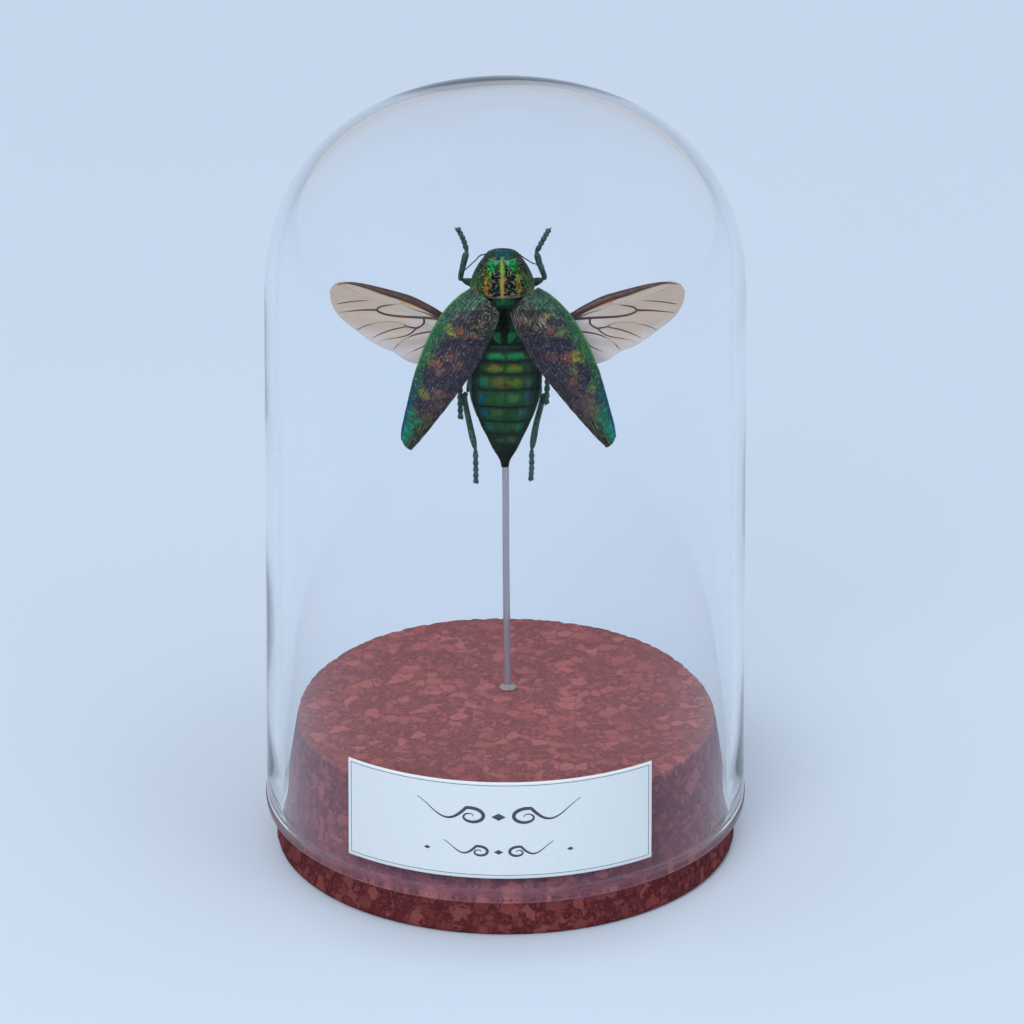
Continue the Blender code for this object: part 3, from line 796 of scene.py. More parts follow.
WING_DEPTH = 5.5
WING_SWEEP = math.radians(4.0)
WING_SHIFT = {"left": 0.0, "right": 0.5}
WING_LEADING = (
    (7.0, 92.2), (10.1, 93.5), (13.9, 95.6), (18.1, 97.2), (22.4, 98.4), (25.7, 99.0),
    (27.2, 99.1), (28.6, 98.6), (29.5, 97.3),
)
WING_TRAILING = (
    (7.6, 87.4), (10.2, 84.8), (14.0, 84.2), (16.2, 84.8), (18.5, 86.3), (21.7, 87.8),
    (25.1, 90.2), (28.1, 92.9), (29.3, 95.2),
)
WING_ROWS = 150
WING_COLUMNS = 64
FILM_THICKNESS = 0.06
VEIN_SWELL = 1.25
VEINS = {
    "strut": (
        ((7.0, 91.9), (10.3, 93.2), (11.9, 94.15), (13.6, 95.05), (15.7, 96.05), (17.8, 96.75),
         (20.3, 97.5), (22.7, 98.2), (25.0, 98.7), (26.6, 98.85), (28.2, 98.55)),
        (0.30, 0.36, 0.40, 0.46, 0.50, 0.48, 0.42, 0.32, 0.22, 0.14, 0.08),
    ),
    "second": (
        ((7.2, 91.5), (10.6, 92.75), (12.0, 93.5), (13.4, 94.3), (15.4, 95.4), (17.4, 96.3), (18.5, 96.7)),
        (0.20, 0.17, 0.13, 0.11, 0.10, 0.10, 0.08),
    ),
    "cell_foot": (
        ((8.6, 92.0), (11.2, 92.8), (13.3, 93.7), (14.8, 94.15), (16.2, 94.75), (17.3, 95.6)),
        (0.15, 0.13, 0.11, 0.10, 0.09, 0.07),
    ),
    "loop": (
        ((17.1, 95.3), (18.6, 95.05), (19.8, 94.85), (20.9, 94.5), (21.3, 94.0), (20.9, 93.6),
         (19.6, 93.15), (17.5, 92.9), (13.3, 92.75), (10.5, 92.5), (7.4, 91.4)),
        (0.07, 0.09, 0.10, 0.11, 0.13, 0.14, 0.14, 0.15, 0.16, 0.17, 0.18),
    ),
    "stem": (((21.3, 94.0), (23.8, 93.9), (25.5, 93.7), (28.0, 93.35)), (0.14, 0.10, 0.08, 0.05)),
    "tip_fork": (((22.9, 96.5), (25.0, 97.2), (27.1, 98.2), (28.3, 98.65)), (0.04, 0.06, 0.07, 0.04)),
    "tip_low": (((21.7, 95.8), (25.0, 95.5), (26.8, 95.2), (28.2, 94.9)), (0.03, 0.06, 0.07, 0.04)),
    "outer_fold": (((18.7, 96.3), (20.6, 96.9), (22.7, 97.6), (24.2, 98.2)), (0.06, 0.06, 0.05, 0.03)),
    "crook": (
        ((13.5, 92.7), (13.45, 91.9), (13.9, 91.3), (14.7, 90.8)), (0.13, 0.15, 0.14, 0.13)
    ),
    "crook_spur": (((13.5, 91.8), (12.7, 91.5)), (0.10, 0.05)),
    "arch": (
        ((14.7, 90.8), (16.2, 91.1), (17.3, 91.7), (19.2, 91.9), (21.3, 91.6), (23.4, 91.0), (24.8, 90.2)),
        (0.12, 0.11, 0.09, 0.09, 0.08, 0.06, 0.03),
    ),
    "arch_low": (((16.2, 91.1), (18.5, 90.5), (20.3, 89.8), (22.2, 88.8)), (0.07, 0.08, 0.07, 0.03)),
    "branch": (
        ((14.7, 90.8), (15.7, 89.8), (17.1, 89.2), (19.9, 88.6), (21.3, 87.8)),
        (0.10, 0.09, 0.09, 0.07, 0.03),
    ),
    "root_low": (((8.0, 89.6), (11.2, 90.3), (14.1, 89.9), (16.1, 89.1), (17.3, 88.2), (18.5, 86.8)),
                 (0.12, 0.11, 0.10, 0.09, 0.07, 0.03)),
    "hind": (((12.1, 90.1), (12.7, 88.9), (13.4, 87.7), (14.7, 86.9), (16.6, 85.9)),
             (0.08, 0.08, 0.07, 0.06, 0.03)),
}


def closed_sheet(front, back):
    """Points and faces of a thin closed plate between two grids of points."""
    rows, columns = front.shape[:2]
    count = rows * columns
    faces = grid_faces(rows, columns)
    faces += [tuple(count + corner for corner in reversed(face)) for face in faces]
    rim = list(range(columns)) + [row * columns + columns - 1 for row in range(1, rows)]
    rim += list(range(count - 2, count - columns - 1, -1)) + [row * columns for row in range(rows - 2, 0, -1)]
    for near, far in zip(rim, rim[1:] + rim[:1]):
        faces.append((far, near, count + near, count + far))
    return np.vstack([front.reshape(-1, 3), back.reshape(-1, 3)]), faces


def resampled(table, rows):
    """The table's rows, evenly spread along a smooth curve through them."""
    return eased(np.arange(len(table)), np.array(table, float), np.linspace(0, len(table) - 1, rows))


def spanned(first, second, rows, columns, side):
    """A grid between a wing's two edges, and each column's share of the way from the first.
    A right wing's columns run backwards, so that its faces point outwards too."""
    share = np.linspace(0.0, 1.0, columns)
    if side == "right":
        share = share[::-1]
    first, second = resampled(first, rows)[:, None], resampled(second, rows)[:, None]
    return share, first * (1 - share)[None, :, None] + second * share[None, :, None]


def wing_point(side, out, up, lift):
    """A place on a wing: out from the body, up from the floor and lifted off the membrane."""
    sign = -1 if side == "left" else 1
    depth = WING_DEPTH + (out - 7.1) * math.tan(WING_SWEEP) - lift
    return np.stack([sign * (out + WING_SHIFT[side]), depth, up + 0 * out], axis=-1)


def membrane_finish(side):
    film = Finish("membrane_" + side, Coat_Weight=0.3, Coat_Roughness=0.15)
    spot = film.place()
    amber = film.kept("amber")
    reach = film.kept("reach")
    cloud = film.grain(spot, 0.35, 3.0)
    hairs = film.cells(spot, 6.0)
    colour = film.blend(film.rise(reach + cloud * 0.3, 0.2, 0.75), dye(216, 200, 188), dye(208, 186, 164))
    colour = film.blend(film.rise(hairs, 0.16, 0.08) * 0.35, colour, dye(112, 92, 78))
    colour = film.blend(amber, colour, dye(184, 128, 68))
    film.show(
        Base_Color=colour,
        Roughness=0.3 + cloud * 0.2,
        Alpha=0.48 + reach * 0.20 + amber * 0.4,
        Normal=film.relief(film.grain(spot, 1.6, 2.0), 0.05),
    )
    return film


def build_membrane(side):
    """The film: a thin sheet in shallow folds that fan out from the wing's root."""
    flat = spanned(WING_TRAILING, WING_LEADING, WING_ROWS, WING_COLUMNS, side)[1]
    out, up = flat[..., 0], flat[..., 1]
    fan = np.arctan2(up - 91.0, out - 4.0)
    folds = 0.10 * np.sin(fan * 26) * smooth(out, 8.0, 14.0) * smooth(out, 30.0, 26.0)
    front = wing_point(side, out, up, folds + FILM_THICKNESS / 2)
    back = wing_point(side, out, up, folds - FILM_THICKNESS / 2)
    points, faces = closed_sheet(front, back)
    spine = eased((7.0, 11.0, 14.0, 18.0), (91.9, 93.6, 94.85, 96.3), np.clip(out, 7.0, 18.0))
    width = np.interp(out, (7.0, 9.0, 13.0, 17.0, 18.0), (0.1, 0.3, 0.55, 0.45, 0.1))
    amber = smooth(np.abs(up - spine) / width, 1.2, 0.7) * smooth(out, 18.4, 17.8)
    reach = smooth(out, 9.0, 24.0) * smooth(up - 84.0 - (out - 14.0) * 0.5, 0.0, 4.0)
    name = "hindwing_" + side + "_membrane"
    return add_piece(
        name, points, faces, membrane_finish(side),
        amber=np.tile(amber.ravel(), 2), reach=np.tile(reach.ravel(), 2),
    )


def vein_finish():
    vein = Finish("vein_brown", Coat_Weight=0.3, Coat_Roughness=0.3)
    spot = vein.place()
    tone = vein.grain(spot, 0.9, 3.0)
    colour = vein.ramp(tone, (0.38, dye(56, 32, 32)), (0.56, dye(80, 44, 38)), (0.75, dye(102, 58, 42)))
    vein.show(Base_Color=colour, Roughness=0.4 + tone * 0.2, Normal=vein.relief(vein.grain(spot, 8.0), 0.03))
    return vein


def tree_with(name, **sizes):
    """A Geometry Nodes tree with a geometry input and named sizes, ready for its nodes."""
    tree = bpy.data.node_groups.new(name, "GeometryNodeTree")
    tree.interface.new_socket("Geometry", in_out="INPUT", socket_type="NodeSocketGeometry")
    for size, value in sizes.items():
        kind = "NodeSocketInt" if isinstance(value, int) else "NodeSocketFloat"
        socket = tree.interface.new_socket(size.replace("_", " "), in_out="INPUT", socket_type=kind)
        socket.default_value = value
    tree.interface.new_socket("Geometry", in_out="OUTPUT", socket_type="NodeSocketGeometry")
    return tree, tree.nodes.new("NodeGroupInput"), tree.nodes.new("NodeGroupOutput")


def wire(tree, kind, settings, inputs):
    """Adds a node to a tree: its settings, then the values or links of its sockets."""
    node = tree.nodes.new(kind)
    for name, value in settings.items():
        setattr(node, name, value)
    for key, value in inputs.items():
        if isinstance(value, bpy.types.NodeSocket):
            tree.links.new(value, node.inputs[key])
        else:
            node.inputs[key].default_value = value
    return node


def close_tree(tree, geometry, material, end):
    """Ends a tree in plain geometry that wears its material."""
    real = wire(tree, "GeometryNodeRealizeInstances", {}, {"Geometry": geometry})
    dressed = wire(tree, "GeometryNodeSetMaterial", {}, {"Geometry": real.outputs[0], "Material": material})
    tree.links.new(dressed.outputs[0], end.inputs[0])


def line_piece(name, paths):
    """A mesh of open lines. Each path is a list of (x, y, z, girth) in millimetres."""
    points, edges, girths = [], [], []
    for path in paths:
        edges += [(len(points) + i, len(points) + i + 1) for i in range(len(path) - 1)]
        points += [tuple(point[:3] * MM) for point in path]
        girths += [point[3] * MM for point in path]
    mesh = bpy.data.meshes.new(name)
    mesh.from_pydata(points, edges, [])
    mesh.attributes.new("girth", "FLOAT", "POINT").data.foreach_set("value", girths)
    piece = bpy.data.objects.new(name, mesh)
    bpy.context.scene.collection.objects.link(piece)
    return piece


def grown(piece, tree, **sizes):
    """Runs a Geometry Nodes tree on a piece and keeps the plain mesh that it gives."""
    growth = piece.modifiers.new("growth", "NODES")
    growth.node_group = tree
    for socket in tree.interface.items_tree:
        key = socket.name.replace(" ", "_")
        if socket.in_out == "INPUT" and key in sizes:
            growth[socket.identifier] = sizes[key]
    bpy.context.view_layer.update()
    mesh = bpy.data.meshes.new_from_object(piece.evaluated_get(bpy.context.evaluated_depsgraph_get()))
    piece.modifiers.remove(growth)
    piece.data = mesh
    piece.data.shade_smooth()
    return piece


def vein_tree(material):
    """Round veins swept along lines, as thick at each point as the line's girth."""
    tree, start, end = tree_with("veins", Sides=10)
    lines = wire(tree, "GeometryNodeMeshToCurve", {}, {"Mesh": start.outputs["Geometry"]})
    ring = wire(
        tree, "GeometryNodeCurvePrimitiveCircle", {}, {"Resolution": start.outputs["Sides"], "Radius": 1.0}
    )
    girth = wire(tree, "GeometryNodeInputNamedAttribute", {"data_type": "FLOAT"}, {"Name": "girth"})
    swept_veins = wire(tree, "GeometryNodeCurveToMesh", {}, {
        "Curve": lines.outputs[0], "Profile Curve": ring.outputs[0], "Scale": girth.outputs[0],
        "Fill Caps": True,
    })
    close_tree(tree, swept_veins.outputs[0], material, end)
    return tree


def vein_paths(side):
    """Each vein's points, resampled smoothly and laid on the wing's plane, and its girths."""
    paths = []
    for points, girths in VEINS.values():
        table = np.column_stack([points, np.array(girths) * VEIN_SWELL])
        fine = resampled(table, 8 * len(points))
        place = wing_point(side, fine[:, 0], fine[:, 1], 0.0)
        paths.append(np.column_stack([place, fine[:, 2]]))
    return paths


veins = vein_tree(vein_finish().material)
for side in ("left", "right"):
    fit(build_membrane(side), "hindwing_" + side)
    ribs = grown(line_piece("hindwing_" + side + "_veins", vein_paths(side)), veins, Sides=10)
    fit(ribs, "hindwing_" + side)

# ---------------------------------------------------------------------------------- Elytra
# The wing cases: thin domed plates of hard cuticle, hinged at the shoulder and spread open.
# They are ribbed lengthwise, wrinkled over the shoulder knob and speckled with metallic scales.

ELYTRON_INNER = (
    (0.8, -2.7), (3.2, -3.15), (6.8, -3.2), (10.6, -3.15), (15.2, -2.4),
    (19.0, -1.6), (22.5, -0.8), (26.0, 0.0), (28.7, 0.8),
)
ELYTRON_OUTER = (
    (-1.2, 3.2), (1.1, 4.5), (5.2, 5.6), (10.2, 5.8), (15.4, 5.3),
    (18.6, 4.7), (21.6, 4.05), (25.6, 3.2), (27.7, 2.4),
)
ELYTRON_CROWN = 1.7
ELYTRON_THICKNESS = 0.35
ELYTRON_HINGE = {"left": (-3.3, 3.7, 96.7), "right": (3.2, 3.7, 96.7)}
ELYTRON_SPREAD = {"left": 24.5, "right": 27.0}
ELYTRON_LIFT = 5.0
ELYTRON_ROWS = 300
ELYTRON_COLUMNS = 110
KNOB = (-0.9, 2.9)
PATCH_SPREAD = 1.25

# Patches of scales: (across, along), half-sizes, colour, strength.
LIME, GOLD, COPPER, LEAF = dye(104, 146, 54), dye(164, 150, 56), dye(150, 92, 62), dye(48, 126, 62)
BLUSH, OLIVE, DUSK = dye(150, 108, 92), dye(112, 122, 60), dye(44, 38, 56)
PATCHES = {
    "left": (
        ((3.7, 6.4), (1.0, 0.8), LIME, 0.95), ((2.9, 6.5), (0.7, 0.5), GOLD, 0.9),
        ((1.8, 5.9), (0.7, 0.7), COPPER, 0.95), ((-0.2, 5.8), (0.9, 0.6), BLUSH, 0.8),
        ((0.6, 6.5), (0.8, 0.5), COPPER, 0.7), ((-0.4, 3.9), (0.6, 0.6), BLUSH, 0.5),
        ((4.7, 12.5), (1.3, 1.1), LIME, 0.85), ((3.1, 12.8), (0.9, 1.2), COPPER, 0.75),
        ((1.9, 13.7), (0.8, 0.9), BLUSH, 0.75), ((1.6, 10.5), (0.9, 1.0), COPPER, 0.7),
        ((-0.2, 11.5), (0.8, 1.1), COPPER, 0.7), ((3.5, 18.2), (0.9, 1.4), LIME, 0.7),
        ((2.5, 18.4), (0.8, 0.9), GOLD, 0.65), ((0.4, 17.3), (1.1, 1.3), BLUSH, 0.65),
        ((0.7, 22.8), (1.0, 1.6), OLIVE, 0.7), ((2.9, 22.4), (0.9, 1.6), LIME, 0.5),
        ((0.9, 25.7), (0.9, 1.3), OLIVE, 0.6), ((3.4, 15.2), (1.6, 1.5), DUSK, 0.8),
        ((2.0, 20.6), (1.5, 1.4), DUSK, 0.75), ((2.6, 9.2), (1.9, 1.3), DUSK, 0.6),
        ((-1.2, 8.4), (1.6, 2.2), DUSK, 0.6), ((4.6, 9.0), (0.9, 2.4), LEAF, 0.45),
        ((4.4, 17.0), (0.8, 1.6), LEAF, 0.4), ((2.2, 24.6), (1.4, 1.6), LEAF, 0.5),
    ),
    "right": (
        ((2.2, 3.4), (0.9, 0.6), GOLD, 0.75), ((1.4, 4.2), (0.6, 0.8), dye(190, 190, 160), 0.7),
        ((1.8, 6.1), (0.9, 0.6), COPPER, 0.95), ((3.1, 7.1), (0.9, 0.9), LIME, 0.85),
        ((-0.4, 2.9), (0.8, 0.6), BLUSH, 0.5), ((-1.7, 2.6), (0.8, 0.8), BLUSH, 0.5),
        ((2.3, 11.5), (1.1, 1.1), COPPER, 0.85), ((4.2, 12.3), (1.3, 1.2), LIME, 0.9),
        ((3.3, 12.0), (0.6, 1.0), GOLD, 0.8), ((0.0, 10.1), (0.9, 0.8), COPPER, 0.6),
        ((1.8, 13.9), (0.9, 0.9), OLIVE, 0.8), ((0.9, 15.7), (0.9, 0.9), COPPER, 0.75),
        ((3.4, 18.2), (1.1, 1.2), LIME, 0.85), ((4.5, 18.8), (0.7, 1.4), LEAF, 0.8),
        ((1.7, 19.7), (1.0, 1.3), BLUSH, 0.6), ((1.9, 22.0), (1.0, 1.2), OLIVE, 0.7),
        ((2.2, 24.6), (1.0, 1.4), OLIVE, 0.6), ((0.6, 23.0), (0.8, 1.6), BLUSH, 0.4),
        ((2.3, 9.2), (1.9, 1.2), DUSK, 0.7), ((3.5, 15.6), (1.4, 1.6), DUSK, 0.8),
        ((-1.2, 8.0), (1.6, 2.6), DUSK, 0.6), ((0.2, 18.6), (1.3, 1.8), DUSK, 0.5),
        ((4.7, 9.0), (0.8, 2.6), LEAF, 0.5), ((2.6, 21.0), (0.9, 1.1), LEAF, 0.5),
    ),
}


def elytron_relief(across, along, share, spot):
    """Ribs, shoulder wrinkles, punctures and raised edges, in millimetres."""
    flow = grains(spot, 1.8, 3.0)
    apart = np.hypot((along - KNOB[1]) / 2.1, (across - KNOB[0]) * 1.1)
    apart += 0.8 * flow + 0.3 * grains(spot, 0.8, 8.0)
    knob = smooth(apart, 3.0, 2.3) * smooth(along, -0.9, 0.0)
    swell = 0.5 * np.exp(-((along - KNOB[1]) / 2.3) ** 2 - ((across - KNOB[0]) / 1.5) ** 2)
    stray = 4.2 * grains(spot, 1.0, 6.0) + 1.6 * grains(spot, 0.5, 7.0)
    wrinkles = 0.085 * knob * np.sin(apart * 12.0 + stray)
    ribs = 0.045 * (1 - knob) * np.cos(2 * np.pi * 15 * share + 1.6 * flow) * smooth(along, 27.0, 20.0)
    pits = -0.06 * smooth(cracks(spot * np.array([1.0, 0.5, 1.0]), 0.36, 2.0), 0.26, 0.5) * (1 - 0.8 * knob)
    edge = smooth(share, 0.95, 0.975) + smooth(share, 0.035, 0.015)
    rough = 0.03 * grains(spot, 0.3, 9.0) + 0.07 * grains(spot, 1.3, 1.0)
    return swell, (wrinkles + ribs + pits) * (1 - edge) + rough + 0.09 * edge


def elytron_finish(side):
    case = Finish("wing_case_" + side, Metallic=0.55, Specular_IOR_Level=0.2)
    place = case.kept("place", "Vector")
    relief = case.kept("relief")
    along, share = case.along(place, "Y"), case.along(place, "Z")
    spot = case.place()
    loose = case.wander(place, 1.1, 1.5)
    streaks = case.grain(case.vector("MULTIPLY", place, (5.0, 0.6, 0.0)), 1.0, 3.0)
    mottle = case.grain(loose, 0.8, 3.0)
    case.colour = case.ramp(mottle, (0.35, dye(42, 41, 54)), (0.55, dye(58, 55, 70)), (0.75, dye(84, 74, 84)))
    case.paint(case.rise(streaks, 0.52, 0.7) * 0.45, dye(112, 106, 116))
    case.paint(case.rise(streaks, 0.47, 0.34) * 0.5, dye(24, 22, 32))
    warm = case.rise(along + mottle * 3.0, 17.5, 20.5) * case.rise(share, 0.75, 0.45)
    case.paint(warm * case.rise(mottle, 0.36, 0.56) * 0.6, dye(110, 84, 84))
    knob = case.vector("MULTIPLY_ADD", loose, (1 / 2.9, 1 / 4.4, 0.0), (0.9 / 2.9, -2.6 / 4.4, 0.0))
    knob = case.rise(case.vector("LENGTH", knob), 1.0, 0.6)
    case.paint(knob * 0.8, dye(52, 56, 50))
    broken = case.rise(case.grain(place, 2.2, 4.0), 0.44, 0.56)
    crest = case.rise(relief, 0.03, 0.09) * (0.35 + broken * 0.65)
    case.paint(knob * crest * 0.65, dye(150, 148, 124))
    ragged = case.grain(place, 1.5, 5.0) * 2.4 - 1.2
    for centre, size, tint, strength in PATCHES[side]:
        scale = (1 / size[0] / PATCH_SPREAD, 1 / size[1] / PATCH_SPREAD, 0.0)
        offset = (-centre[0] * scale[0], -centre[1] * scale[1], 0.0)
        near = case.vector("LENGTH", case.vector("MULTIPLY_ADD", loose, scale, offset)) + ragged
        case.paint(case.rise(near, 1.05, 0.45) * (0.3 + broken * 0.6) * strength, tint)
    tail = case.rise(along, 15.0, 27.0)
    shoulder = case.rise(along, 5.0, 0.0)
    green = case.rise(share + mottle * 0.45 + ragged * 0.05 + tail * 0.08 + shoulder * 0.3, 1.0, 1.14)
    margin = case.ramp(
        along * (1 / 30), (0.0, dye(58, 92, 78)), (0.18, dye(38, 92, 72)), (0.42, dye(42, 104, 64)),
        (0.55, dye(30, 88, 70)), (0.68, dye(10, 76, 96)), (0.84, dye(4, 84, 122)), (0.97, dye(8, 112, 124)),
    )
    flecks = case.rise(case.grain(loose, 2.8, 4.0), 0.57, 0.66)
    margin = case.blend(flecks * case.rise(along, 26.0, 18.0) * 0.5, margin, dye(118, 172, 112))
    margin = case.blend(case.rise(case.grain(loose, 2.0, 4.0), 0.46, 0.36) * 0.5, margin, dye(20, 48, 40))
    case.paint(green, margin)
    tip = case.rise(along + mottle * 4.0 + share * 4.0, 25.5, 28.0) * case.rise(share, 0.3, 0.55)
    tip_green = case.ramp(mottle, (0.35, dye(0, 84, 62)), (0.5, dye(2, 124, 96)), (0.65, dye(20, 168, 128)))
    case.paint(tip * case.rise(share, 0.94, 0.84) * 0.9, tip_green)
    deep = case.rise(along + mottle * 3.0, 22.5, 25.0) * case.rise(share, 0.66, 0.4)
    case.paint(deep * 0.75, dye(26, 34, 28))
    sheen = deep * case.rise(streaks, 0.5, 0.6)
    case.paint(sheen * 0.8, dye(118, 138, 96))
    pale = case.rise(case.grain(loose, 2.4, 4.0), 0.55, 0.63) * case.rise(along, 8.0, 2.0)
    case.paint(pale * case.rise(share, 0.4, 0.6) * 0.45, dye(160, 182, 150))
    scales = case.cells(loose, 5.5, "Color")
    case.paint(case.rise(case.part(scales, 0), 0.45, 0.9) * 0.25, dye(20, 20, 26))
    glint = case.rise(case.part(scales, 1), 0.93, 0.97) * case.rise(along, 26.0, 20.0)
    case.paint(glint * 0.35, dye(184, 182, 160))
    pits = case.rise(relief, -0.01, -0.07) * case.rise(along, 27.0, 22.0)
    case.paint(pits * 0.45, dye(16, 16, 22))
    rim = case.rise(share, 0.965, 0.985) * case.rise(along, 20.0, 12.0)
    case.paint(rim * (0.3 + flecks * 0.7), dye(120, 180, 90))
    lining = case.ramp(mottle, (0.35, dye(44, 30, 34)), (0.55, dye(66, 46, 46)), (0.72, dye(88, 66, 58)))
    lining = case.blend(case.rise(share, 0.9, 0.97) * 0.8, lining, dye(26, 84, 66))
    case.paint(case.kept("lining"), lining)
    height = case.grain(spot, 9.0, 3.0) + streaks
    case.show(Base_Color=case.colour, Roughness=0.26 + mottle * 0.25, Normal=case.relief(height, 0.05))
    return case


def build_elytron(side):
    sign = -1 if side == "left" else 1
    share, flat = spanned(ELYTRON_INNER, ELYTRON_OUTER, ELYTRON_ROWS, ELYTRON_COLUMNS, side)
    along, across = flat[..., 0].copy(), flat[..., 1]
    down = np.linspace(0.0, 1.0, ELYTRON_ROWS)[:, None]
    bow = 1 - (2 * share - 1) ** 2
    along += bow[None] * (0.2 * smooth(down, 0.97, 1.0) - 0.7 * smooth(down, 0.06, 0.0))
    arch = ELYTRON_CROWN * bow[None] * (0.35 + 0.65 * np.sin(np.pi * down))
    shares = np.repeat(share[None], ELYTRON_ROWS, axis=0)
    spot = np.stack([across, along, np.full_like(along, 5.0 * sign)], axis=2).reshape(-1, 3)
    swell, relief = elytron_relief(across.ravel(), along.ravel(), shares.ravel(), spot)
    base = np.stack([sign * across, -arch - swell.reshape(arch.shape), -along], axis=2)
    normals = unit(np.cross(np.gradient(base, axis=1), np.gradient(base, axis=0)))
    front = base + normals * (ELYTRON_THICKNESS + relief.reshape(arch.shape))[..., None]
    points, faces = closed_sheet(front, base)
    spread = Matrix.Rotation(math.radians(-sign * ELYTRON_SPREAD[side]), 3, "Y")
    lift = Matrix.Rotation(math.radians(-ELYTRON_LIFT), 3, "X")
    points = points @ np.array(lift @ spread).T + np.array(ELYTRON_HINGE[side])
    place = np.column_stack([across.ravel(), along.ravel(), shares.ravel()])
    return add_piece(
        "elytron_" + side + "_case", points, faces, elytron_finish(side),
        place=np.vstack([place, place]), relief=np.concatenate([relief, 0.05 + 0 * relief]),
        lining=np.repeat((0.0, 1.0), len(relief)),
    )


for side in ("left", "right"):
    fit(build_elytron(side), "elytron_" + side)

# -------------------------------------------------------------------------------- Antennae
# Two thin feelers of eleven saw-edged joints, swept back from beside the eyes.

ANTENNAE = {
    "antenna_left": (
        (-2.2, 5.8, 104.5, 0.15), (-3.9, 6.9, 103.8, 0.12), (-4.85, 7.9, 102.5, 0.11),
        (-5.9, 8.9, 100.95, 0.11), (-6.6, 9.5, 100.0, 0.10),
    ),
    "antenna_right": (
        (1.0, 5.8, 104.5, 0.15), (2.1, 6.6, 104.1, 0.12), (3.3, 7.8, 102.75, 0.11),
        (4.5, 8.8, 101.5, 0.11), (5.9, 9.6, 100.7, 0.10),
    ),
}
ANTENNA_JOINTS = 11
ANTENNA_OVERLAP = 1.12


def limb_finish(name, dark, light, pale):
    limb = Finish(name, Metallic=0.45, Specular_IOR_Level=0.3)
    spot = limb.place()
    tone = limb.grain(spot, 2.2, 5.0)
    colour = limb.ramp(tone, (0.32, dark), (0.52, light), (0.72, pale))
    pits = limb.rise(limb.cells(spot, 8.0), 0.3, 0.6)
    colour = limb.blend(pits * 0.35, colour, dye(14, 24, 22))
    limb.show(
        Base_Color=colour,
        Roughness=0.35 + tone * 0.25,
        Normal=limb.relief(limb.grain(spot, 10.0, 3.0) - pits, 0.03),
    )
    return limb


def joint_tree(material):
    """Small clubs set end to end along a line, each as thick as the line's girth there."""
    tree, start, end = tree_with("feeler_joints", Count=ANTENNA_JOINTS, Length=0.7)
    thread = wire(tree, "GeometryNodeMeshToCurve", {}, {"Mesh": start.outputs["Geometry"]})
    stops = wire(
        tree, "GeometryNodeCurveToPoints", {"mode": "COUNT"},
        {"Curve": thread.outputs[0], "Count": start.outputs["Count"]},
    )
    club = wire(tree, "GeometryNodeMeshCone", {}, {
        "Vertices": 10, "Side Segments": 4, "Fill Segments": 2, "Radius Top": 1.15, "Radius Bottom": 0.6,
        "Depth": 1.0,
    })
    size = wire(tree, "ShaderNodeCombineXYZ", {}, {2: start.outputs["Length"]})
    girth = wire(tree, "GeometryNodeInputNamedAttribute", {"data_type": "FLOAT"}, {"Name": "girth"})
    for axis in (0, 1):
        tree.links.new(girth.outputs[0], size.inputs[axis])
    placed = wire(tree, "GeometryNodeInstanceOnPoints", {}, {
        "Points": stops.outputs["Points"], "Instance": club.outputs["Mesh"],
        "Rotation": stops.outputs["Rotation"], "Scale": size.outputs[0],
    })
    close_tree(tree, placed.outputs[0], material, end)
    return tree


feeler = limb_finish("feeler_horn", dye(34, 44, 46), dye(62, 78, 78), dye(96, 110, 106))
feelers = joint_tree(feeler.material)
for name, joints in ANTENNAE.items():
    path = resampled(joints, 60)
    length = np.linalg.norm(np.diff(path[:, :3], axis=0), axis=1).sum() * MM / ANTENNA_JOINTS
    piece = line_piece(name + "_joints", [path])
    fit(grown(piece, feelers, Count=ANTENNA_JOINTS, Length=length * ANTENNA_OVERLAP), name)

# ------------------------------------------------------------------------------------ Legs
# Six legs of dark green horn, tucked behind the body: a stout thigh, a ridged shin, five
# lobed foot joints and a pair of claws, each a hard tube that plugs into the next.

